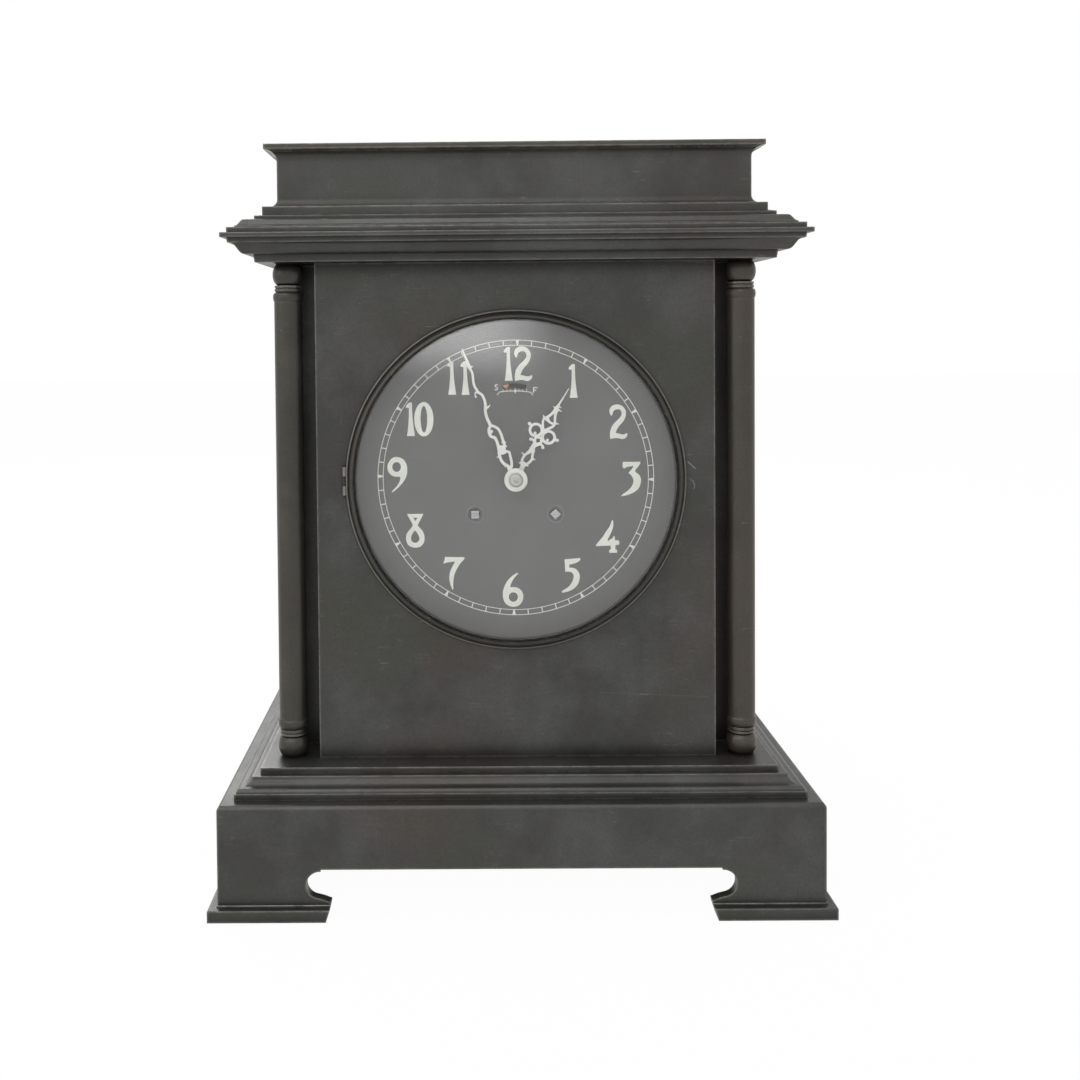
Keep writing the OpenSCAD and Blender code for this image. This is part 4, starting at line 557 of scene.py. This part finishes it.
def dial_numerals():
    """The twelve numerals, drawn as on the dial: each stands upright and swells at its foot."""
    bm = bmesh.new()
    ones = [(-3.7, 46.5), (27.2, 38.1), (-50.6, 20.45), (-30.7, 40.05), (-24.35, 39.9)]
    figures = [[rounded_outline(shifted(ONE, at))] for at in ones]
    figures += [[rounded_outline(shifted(TWO, at))] for at in ((0, 0), (-45.2, 28.1))]
    figures += [[rounded_outline(points)] for points in (THREE, FOUR, FIVE, SEVEN)]
    figures.append([ellipse((-44.35, 28.45), 4.6, 8.25), ellipse((-44.35, 28.45), 1.6, 6.35)])
    figures.append([rounded_outline(SIX), ellipse((-2.25, -57.25), 2.17, 2.28)])
    eight_notch = [(-49.9, -18.7), (-47.85, -18.7), (-48.8, -20.4)]
    figures.append([rounded_outline(EIGHT), eight_notch, rounded_outline(EIGHT_DROP)])
    figures.append([rounded_outline(NINE), ellipse((-57.6, 5.7), 2.06, 2.35)])
    for loops in figures:
        fill_mark(bm, [shifted(loop, PRINT_SHIFT) for loop in loops], INK_BACK, INK_FRONT)
    finish_piece("dial_numerals", close_marks(bm), "case", "dial_marks")


def minute_track():
    """Two thin circles, with a tick for each minute and a wedge at each fifth, turned by about a degree."""
    bm = bmesh.new()
    turn = radians(-1.1)
    middle = (0.35, -0.25)
    for radius, half in ((65.85, 0.17), (63.35, 0.15)):
        circles = [ellipse(middle, radius + side, radius + side, 240) for side in (half, -half)]
        fill_mark(bm, circles, INK_BACK, INK_FRONT)
    for minute in range(60):
        angle = 2 * pi * minute / 60 + turn
        out, side = Vector((cos(angle), sin(angle))), Vector((-sin(angle), cos(angle)))
        inner_half, outer_half = (0.22, 0.22) if minute % 5 else (0.28, 0.85)
        corners = [(63.4, -inner_half), (65.8, -outer_half), (65.8, outer_half), (63.4, inner_half)]
        loop = [tuple(out * r + side * s + Vector(middle)) for r, s in corners]
        fill_mark(bm, [loop], INK_BACK, INK_FRONT - 0.004)
    finish_piece("minute_track", close_marks(bm), "case", "dial_marks")


def bar(start, end, width):
    """The outline of a straight bar between two points."""
    a, b = Vector(start), Vector(end)
    side = (b - a).normalized().orthogonal() * (width / 2)
    return [tuple(a + side), tuple(a - side), tuple(b - side), tuple(b + side)]


def rate_mark():
    """The slow-fast scale above the slot of the rate pointer."""
    bm = bmesh.new()
    line = 0.32
    ends = [(-7.0, 40.9), (-3.5, 41.25), (0.3, 41.3), (4.0, 41.15), (7.6, 40.7)]
    bars = [(a, b, line) for a, b in zip(ends, ends[1:])]
    bars += [((-8.3, 39.4), ends[0], line), ((8.9, 39.2), ends[-1], line)]
    bars += [((x, 41.2), (x, 42.2), 0.26) for x in (-5.4, -3.6, -1.8, 2.2, 4.0, 5.8)]
    bars += [((0.45, 40.0), (0.45, 42.7), 0.3)]
    # Slow, on the left, and fast, on the right
    slow = [(-7.75, 44.1), (-8.3, 44.45), (-9.0, 44.3), (-9.3, 43.8), (-8.9, 43.3),
            (-8.2, 43.0), (-7.85, 42.5), (-8.2, 42.0), (-8.9, 41.85), (-9.45, 42.2)]
    bars += [(a, b, 0.42) for a, b in zip(slow, slow[1:])]
    fast = [((9.0, 40.2), (9.3, 43.1), 0.42), ((9.25, 42.95), (11.2, 42.7), 0.4)]
    bars += fast + [((9.15, 41.7), (10.5, 41.5), 0.38)]
    # Bars that cross differ by a hair in how far they stand out, so that no two faces share a plane
    for index, (start, end, width) in enumerate(bars):
        fill_mark(bm, [bar(start, end, width)], INK_BACK, INK_FRONT - 0.0015 * (index % 5))
    diamond = [(0.45, 42.1), (-0.35, 41.3), (0.45, 40.5), (1.25, 41.3)]
    fill_mark(bm, [diamond], INK_BACK, INK_FRONT - 0.01)
    finish_piece("rate_mark", close_marks(bm), "case", "dial_marks")


# The hands as strokes: points of (x, z) from the hub, with the widths at the first and last point
MINUTE_SHIFT, HOUR_SHIFT = (0.9, 0.3), (0.6, 0.3)
MINUTE_STROKES = [
    ([(-4, 4.5), (-4.6, 6.2), (-6.2, 7.2), (-7.7, 9), (-8.5, 11.5), (-8.8, 12.5)], 1.5, 1.3),
    ([(-3.2, 5), (-2.8, 7.4), (-3, 9), (-3.5, 11), (-3.8, 12.6), (-5, 13.2), (-5.8, 12.9)], 1.3, 1.1),
    ([(-7.0, 12.9), (-7.6, 14.9)], 2.6, 2.3),
    ([(-8.6, 12.5), (-9, 15.5), (-9.75, 18), (-10.75, 19.75), (-12.25, 20.1), (-13.2, 21.5),
      (-13.4, 23.5), (-12.6, 25)], 1.5, 1.2),
    ([(-6.2, 13.5), (-6.25, 16.5), (-7, 19), (-7.75, 21.5), (-9, 23.75), (-11, 25), (-13, 25.6)], 1.4, 1.2),
    ([(-13.2, 21.3), (-12.5, 21.5), (-12.2, 22.3)], 0.9, 0.8),
    ([(-12.6, 25.5), (-13.25, 26.8), (-14.25, 29), (-14.85, 31.5), (-15, 33.5), (-14.9, 35), (-15.25, 37),
      (-16, 39), (-17, 40.25), (-18.5, 41)], 1.5, 1.15),
    ([(-18.5, 41), (-18.75, 42), (-19.75, 43.5), (-20.4, 45.5), (-20.65, 48), (-20.9, 50),
      (-21.75, 51.7)], 1.25, 1.1),
    ([(-21.75, 51.7), (-22.6, 53.5)], 1.2, 1.9),
    ([(-22.6, 53.5), (-23.25, 55.5), (-24.25, 57.8), (-25.25, 60.5), (-25.5, 61.5)], 1.6, 0.4),
    ([(-17.5, 40.9), (-19.0, 41.2), (-19.75, 40.4), (-19.4, 38.9)], 0.8, 0.55),
    ([(-14.5, 33.6), (-13.3, 34.3), (-12.6, 35.3)], 1.3, 0.25),
]
MINUTE_SPIKES = [(-14.1, 23), (-13.9, 24.5), (-5.25, 17.5), (-4.75, 15.5), (-20.4, 53.4), (-23.6, 54.8),
                 (-6.1, 5.7), (-2.2, 7.2), (-2.2, 6), (-9.9, 10.4), (-7.6, 17.2)]
MINUTE_BALLS = [((-6, 12.7), 0.75), ((-12.2, 22.6), 0.8), ((-19.4, 38.9), 0.5)]
HOUR_STROKES = [
    ([(2.0, 3.9), (3.4, 6.9)], 2.4, 2.0),
    ([(2.3, 6.6), (2.65, 8.9), (3.8, 10.85), (5.5, 12.2)], 1.2, 1.2),
    ([(4.2, 6.2), (6.3, 7.8), (7.3, 9.3), (7.5, 11.2), (8.2, 13.15)], 1.2, 1.2),
    ([(5.2, 12.0), (6.7, 13.15), (8, 15.1)], 1.5, 2.3),
    ([(8.2, 15.1), (8.2, 17.4), (7.5, 18.5), (6.7, 18.5)], 1.2, 1.0),
    ([(8.4, 15.2), (9.4, 15.5), (10.9, 16), (12.1, 15.5), (12.4, 14.7)], 1.3, 1.0),
    ([(8.6, 16.2), (8.9, 18.9)], 1.1, 1.0), ([(9.2, 16.3), (11.6, 16.7)], 1.0, 0.9),
    ([(11.6, 16.9), (11.5, 19.2)], 1.0, 1.0), ([(8.9, 19.3), (11.6, 19.2)], 1.0, 1.0),
    ([(12.65, 22), (12.5, 26.6), (13.2, 28.5)], 1.15, 1.0),
    ([(13.6, 28.15), (15.5, 26.6), (17.5, 25.5)], 1.0, 1.2),
    ([(13.6, 22.8), (17.1, 24.3), (18.2, 25.85)], 1.15, 1.15),
    ([(14, 28.5), (15.9, 29.7), (17.5, 31.2), (18.6, 32.8)], 1.3, 1.3),
    ([(18.2, 25.85), (18.2, 28.15), (18.6, 30.5), (19.4, 32.4)], 1.15, 1.3),
    ([(15.7, 26.6), (14.8, 28.7)], 0.9, 0.9),
    ([(18.5, 31.4), (19.2, 33.2), (19.8, 34.3)], 2.2, 1.3),
    ([(19.8, 34.3), (22.5, 38.5), (24.8, 42.2)], 1.0, 0.35),
]
HOUR_RINGS = [((9.2, 22.8), 2.85), ((15.15, 19.3), 2.85)]
HOUR_SPIKES = [(0.9, 7.4), (5.5, 5.3), (2.3, 12.4), (9, 8.5), (12.65, 30), (20.15, 25.5), (17.3, 34.1),
               (21.3, 33.15), (21.5, 31.4), (6.0, 14.6)]
HOUR_BALLS = [((6.7, 18.5), 0.75), ((12.4, 14.5), 0.75), ((8.8, 21.4), 0.7), ((6.2, 25.85), 0.85),
              ((14.6, 18), 0.7), ((19.2, 17.85), 0.85)]


def add_capsule(bm, start, end, width_start, width_end, front, back):
    """A flat bar with round ends, tapered between its two widths."""
    verts = []
    for (x, z), width in ((start, width_start), (end, width_end)):
        for y in (front, back):
            place = Matrix.Translation(at_dial(x, y, z)) @ Matrix.Rotation(pi / 2, 4, "X")
            verts += bmesh.ops.create_circle(bm, segments=14, radius=width / 2 * MM, matrix=place)["verts"]
    hulled = bmesh.ops.convex_hull(bm, input=verts, use_existing_faces=False)
    spare = [v for v in hulled["geom_interior"] if isinstance(v, bmesh.types.BMVert)]
    bmesh.ops.delete(bm, geom=spare, context="VERTS")


def eased_line(points, steps=4):
    """Points along a smooth line through the given ones."""
    spots = [Vector(p) for p in points]
    line = []
    for i in range(len(spots) - 1):
        a, b = spots[i], spots[i + 1]
        lead_in = (b - spots[i - 1]) / 2 if i else b - a
        lead_out = (spots[i + 2] - a) / 2 if i + 2 < len(spots) else b - a
        line += eased(a, b, lead_in, lead_out, steps)
    return line + [spots[-1]]


# Widths of the cut metal: of a ring, and of a spike at its root and at its tip
RING_WIDTH, SPIKE_ROOT, SPIKE_TIP = 1.3, 1.15, 0.24
# Heights of the hands' front and back faces, and how far a ball stands out in front
MINUTE_FACES, HOUR_FACES, BALL_OUT = (-1.4, -0.5), (2.2, 3.1), 0.1
# Grain of the mesh in which a hand's strokes melt into one
HAND_GRAIN = 0.13


def pierced_hand(name, body, strokes, spikes, balls, rings, hub, shift, faces):
    """A hand cut from sheet: its strokes, rings, balls and spikes grown into one piece with soft arrises."""
    front, back = faces
    bm = bmesh.new()
    lines = []
    for points, width_start, width_end in strokes:
        line = eased_line(shifted(points, shift))
        lines += line
        for i, (a, b) in enumerate(zip(line, line[1:])):
            widths = [width_start + (width_end - width_start) * k / (len(line) - 1) for k in (i, i + 1)]
            add_capsule(bm, a, b, *widths, front, back)
    circles = [(shifted([at], shift)[0], radius, RING_WIDTH) for at, radius in rings] + [hub]
    for at, radius, width in circles:
        loop = ellipse(at, radius, radius, 28)
        for a, b in zip(loop, loop[1:] + loop[:1]):
            add_capsule(bm, a, b, width, width, front, back)
    for at, radius in balls:
        spot = shifted([at], shift)[0]
        add_capsule(bm, spot, (spot[0] + 0.01, spot[1]), 2 * radius, 2 * radius, front - BALL_OUT, back)
    for tip in shifted(spikes, shift):
        root = min(lines, key=lambda p: (p - Vector(tip)).length)
        add_capsule(bm, root, tip, SPIKE_ROOT, SPIKE_TIP, front, back)
    hand = finish_piece(name, bm, body, "hand_silver", smooth=40)
    grow = hand.modifiers.new("grow", "REMESH")
    grow.mode = "VOXEL"
    grow.voxel_size = HAND_GRAIN * MM
    melted = bpy.data.meshes.new_from_object(hand.evaluated_get(bpy.context.evaluated_depsgraph_get()))
    hand.modifiers.clear()
    bm = bmesh.new()
    bm.from_mesh(melted)
    bmesh.ops.smooth_vert(bm, verts=bm.verts, factor=0.5, use_axis_x=True, use_axis_y=True, use_axis_z=True)
    bm.to_mesh(hand.data)
    bm.free()
    hand.data.shade_smooth()
    hand.data.set_sharp_from_angle(angle=radians(40))
    return hand


def clock_hands():
    """Both hands, each with the ring of its hub, and the round cap, boss and pin over them."""
    minute_hub, hour_hub = ((0, 0), 3.0, 3.4), ((0, 0), 3.9, 2.6)
    minute = pierced_hand("pierced_minute_hand", "minute_hand", MINUTE_STROKES, MINUTE_SPIKES, MINUTE_BALLS,
                          [], minute_hub, MINUTE_SHIFT, MINUTE_FACES)
    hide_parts("minute_hand")
    hour = pierced_hand("pierced_hour_hand", "hour_hand", HOUR_STROKES, HOUR_SPIKES, HOUR_BALLS,
                        HOUR_RINGS, hour_hub, HOUR_SHIFT, HOUR_FACES)
    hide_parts("hour_hand")
    # The round cap has a stepped brim, a boss on it and in the middle the end of the arbor's pin
    brim = [(3.3, -1.35), (5.35, -1.35), (5.5, -1.5), (5.5, -1.95), (5.3, -2.15), (3.75, -2.3), (3.3, -2.2)]
    finish_piece("hand_cap", spun(brim, 64), "minute_hand", "hand_silver", smooth=35)
    boss_top = arc_points((1.7, -2.4), 1.6, 0, -80, 8)
    boss = [(1.05, -1.4), (3.32, -1.4), (3.32, -2.35)] + boss_top + [(1.05, -3.95)]
    finish_piece("hand_boss", spun(boss, 64), "minute_hand", "dull_silver", smooth=35)
    pin = [(0.0, -1.0), (0.9, -1.0), (0.9, -4.0)] + arc_points((0.5, -4.0), 0.4, 0, -90, 4) + [(0.0, -4.4)]
    finish_piece("hand_pin", spun(pin, 48, closed=False), "minute_hand", "movement_steel", smooth=35)


def domed_glass():
    """The glass over the dial, one even thickness of a large sphere's cap."""
    # Its outer face is part of a ball of this radius, whose middle lies this far behind the front panel
    ball, depth = 286.85, 272.85
    thick, rim = 1.8, 76.9

    def cap(radius, count=30):
        """Points of (radius, y) from the middle of one face of the glass to its rim."""
        spots = [rim * i / count for i in range(count + 1)]
        return [(away, depth - (radius**2 - away**2) ** 0.5) for away in spots]

    bm = spun(cap(ball) + cap(ball - thick)[::-1], 160, closed=False)
    glass = finish_piece("domed_dial_glass", bm, "bezel", "dome_glass", smooth=30)
    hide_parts("bezel_glass")


# Places of the two winding holes from the middle of the dial
WINDING_HOLES = {"right": (19.2, -17.7), "left": (-19.2, -17.7)}


def winding_hole_rims():
    """Thin turned lips round the two winding holes, each with a black dust ring about its square that also
    stands in for the shade inside the hole.
    """
    lip = [(3.72, 9.4), (3.72, 9.0)] + arc_points((3.95, 8.98), 0.23, 180, 360, 6) + [(4.18, 9.03)]
    # A black ring that darkens the hole round the square, standing in for its shade
    shading_dust_ring = [(2.62, 9.45), (3.76, 9.3), (3.76, 9.6), (2.62, 9.65)]
    for side, middle in WINDING_HOLES.items():
        rim = spun(lip, 48, middle)
        finish_piece(side + "_winding_rim", rim, "case", "dial_lip", smooth=40)
        finish_piece(side + "_shading_dust_ring", spun(shading_dust_ring, 48, middle), "case", "black_iron", smooth=40)


dial_numerals()
minute_track()
rate_mark()
winding_hole_rims()
clock_hands()
domed_glass()


# Studio

WHITE = (1, 1, 1, 1)


def seen_directly(tree):
    """One for rays from the camera, off mirrors and through glass, and nothing for light on the clock."""
    light = wire(tree, "LightPath").outputs
    seen = maths(tree, "MAXIMUM", light["Is Camera Ray"], light["Is Glossy Ray"])
    return maths(tree, "MAXIMUM", seen, light["Is Transmission Ray"])


def studio_material(name, colour, white_share):
    """A pale surface that shows white to the camera, in mirrors and through glass, and keeps shadows."""
    material, tree, shader = new_finish(name)
    shader.inputs["Base Color"].default_value = colour
    shader.inputs["Roughness"].default_value = 0.85
    shader.inputs["Specular IOR Level"].default_value = 0.0
    white = wire(tree, "Emission", {"Color": WHITE, "Strength": 1.0}).outputs[0]
    share = part_of(tree, white_share, seen_directly(tree))
    surface = wire(tree, "MixShader", {0: share, 1: shader.outputs[0], 2: white}).outputs[0]
    tree.links.new(surface, tree.nodes["Material Output"].inputs["Surface"])
    return material


def studio_floor():
    """A pale floor, wide enough to fill the picture."""
    bm = bmesh.new()
    bmesh.ops.create_grid(bm, x_segments=2, y_segments=2, size=6.0)
    mesh = bpy.data.meshes.new("studio_floor")
    bm.to_mesh(mesh)
    bm.free()
    floor = bpy.data.objects.new("studio_floor", mesh)
    bpy.context.scene.collection.objects.link(floor)
    mesh.materials.append(studio_material("pale_floor", (0.98, 0.98, 0.98, 1), 0.97))


def studio_world(ambient):
    """White to the camera and in reflections; a softer level where it lights the clock."""
    world = bpy.data.worlds.new("studio")
    bpy.context.scene.world = world
    world.use_nodes = True
    tree = world.node_tree
    lit = tree.nodes["Background"]
    lit.inputs["Color"].default_value = WHITE
    lit.inputs["Strength"].default_value = ambient
    white = wire(tree, "Background", {"Color": WHITE, "Strength": 1.0}).outputs[0]
    surface = wire(tree, "MixShader", {0: seen_directly(tree), 1: lit.outputs[0], 2: white}).outputs[0]
    tree.links.new(surface, tree.nodes["World Output"].inputs["Surface"])


def softbox(name, place, aim, width, height, watts):
    """A rectangular lamp whose light fades towards its edges, as through a diffusing cloth."""
    lamp = bpy.data.lights.new(name, "AREA")
    lamp.shape, lamp.size, lamp.size_y, lamp.energy = "RECTANGLE", width, height, watts
    lamp.use_nodes = True
    tree = lamp.node_tree
    across = wire(tree, "SeparateXYZ", {0: wire(tree, "NewGeometry").outputs["Parametric"]}).outputs
    from_middle = [maths(tree, "ABSOLUTE", maths(tree, "SUBTRACT", across[i], 0.5)) for i in (0, 1)]
    fades = [remap(tree, away, 0.5, 0.15) for away in from_middle]
    tree.links.new(maths(tree, "MULTIPLY", *fades), tree.nodes["Emission"].inputs["Strength"])
    holder = bpy.data.objects.new(name, lamp)
    bpy.context.scene.collection.objects.link(holder)
    holder.location = place
    holder.rotation_euler = (Vector(aim) - Vector(place)).to_track_quat("-Z", "Y").to_euler()


def photo_camera():
    """The camera, fitted to the photograph's edges: near, above the dial and a little left of the middle."""
    place = (-0.02356, -0.62072, 0.26489)
    yaw, pitch, roll = -0.00764, 0.02946, 0.00878
    forward = Vector((sin(yaw) * cos(pitch), cos(yaw) * cos(pitch), -sin(pitch)))
    level = Vector((cos(yaw), -sin(yaw), 0))
    down = forward.cross(level)
    right = cos(roll) * level + sin(roll) * down
    down = cos(roll) * down - sin(roll) * level
    lens = bpy.data.cameras.new("photo_camera")
    lens.sensor_width, lens.lens = 36.0, 39.51
    lens.shift_x, lens.shift_y = 0.0780, -0.1612
    lens.clip_start, lens.clip_end = 0.01, 50.0
    camera = bpy.data.objects.new("photo_camera", lens)
    bpy.context.scene.collection.objects.link(camera)
    turn = Matrix((right, -down, -forward)).transposed().to_4x4()
    camera.matrix_world = Matrix.Translation(place) @ turn
    bpy.context.scene.camera = camera


studio_floor()
studio_world(ambient=0.62)
softbox("key_softbox", place=(-0.6, -1.6, 1.35), aim=(0, 0, 0.2), width=2.6, height=1.3, watts=26.0)
softbox("top_softbox", place=(-0.15, -0.35, 1.6), aim=(0, 0, 0.2), width=1.1, height=0.6, watts=10.0)
softbox("side_softbox", place=(-1.5, -0.9, 0.7), aim=(0, 0, 0.18), width=1.0, height=1.0, watts=5.0)
softbox("back_softbox", place=(-0.6, 1.6, 1.1), aim=(0, 0, 0.25), width=1.4, height=1.0, watts=24.0)
photo_camera()
bpy.context.scene.view_settings.view_transform = "Standard"
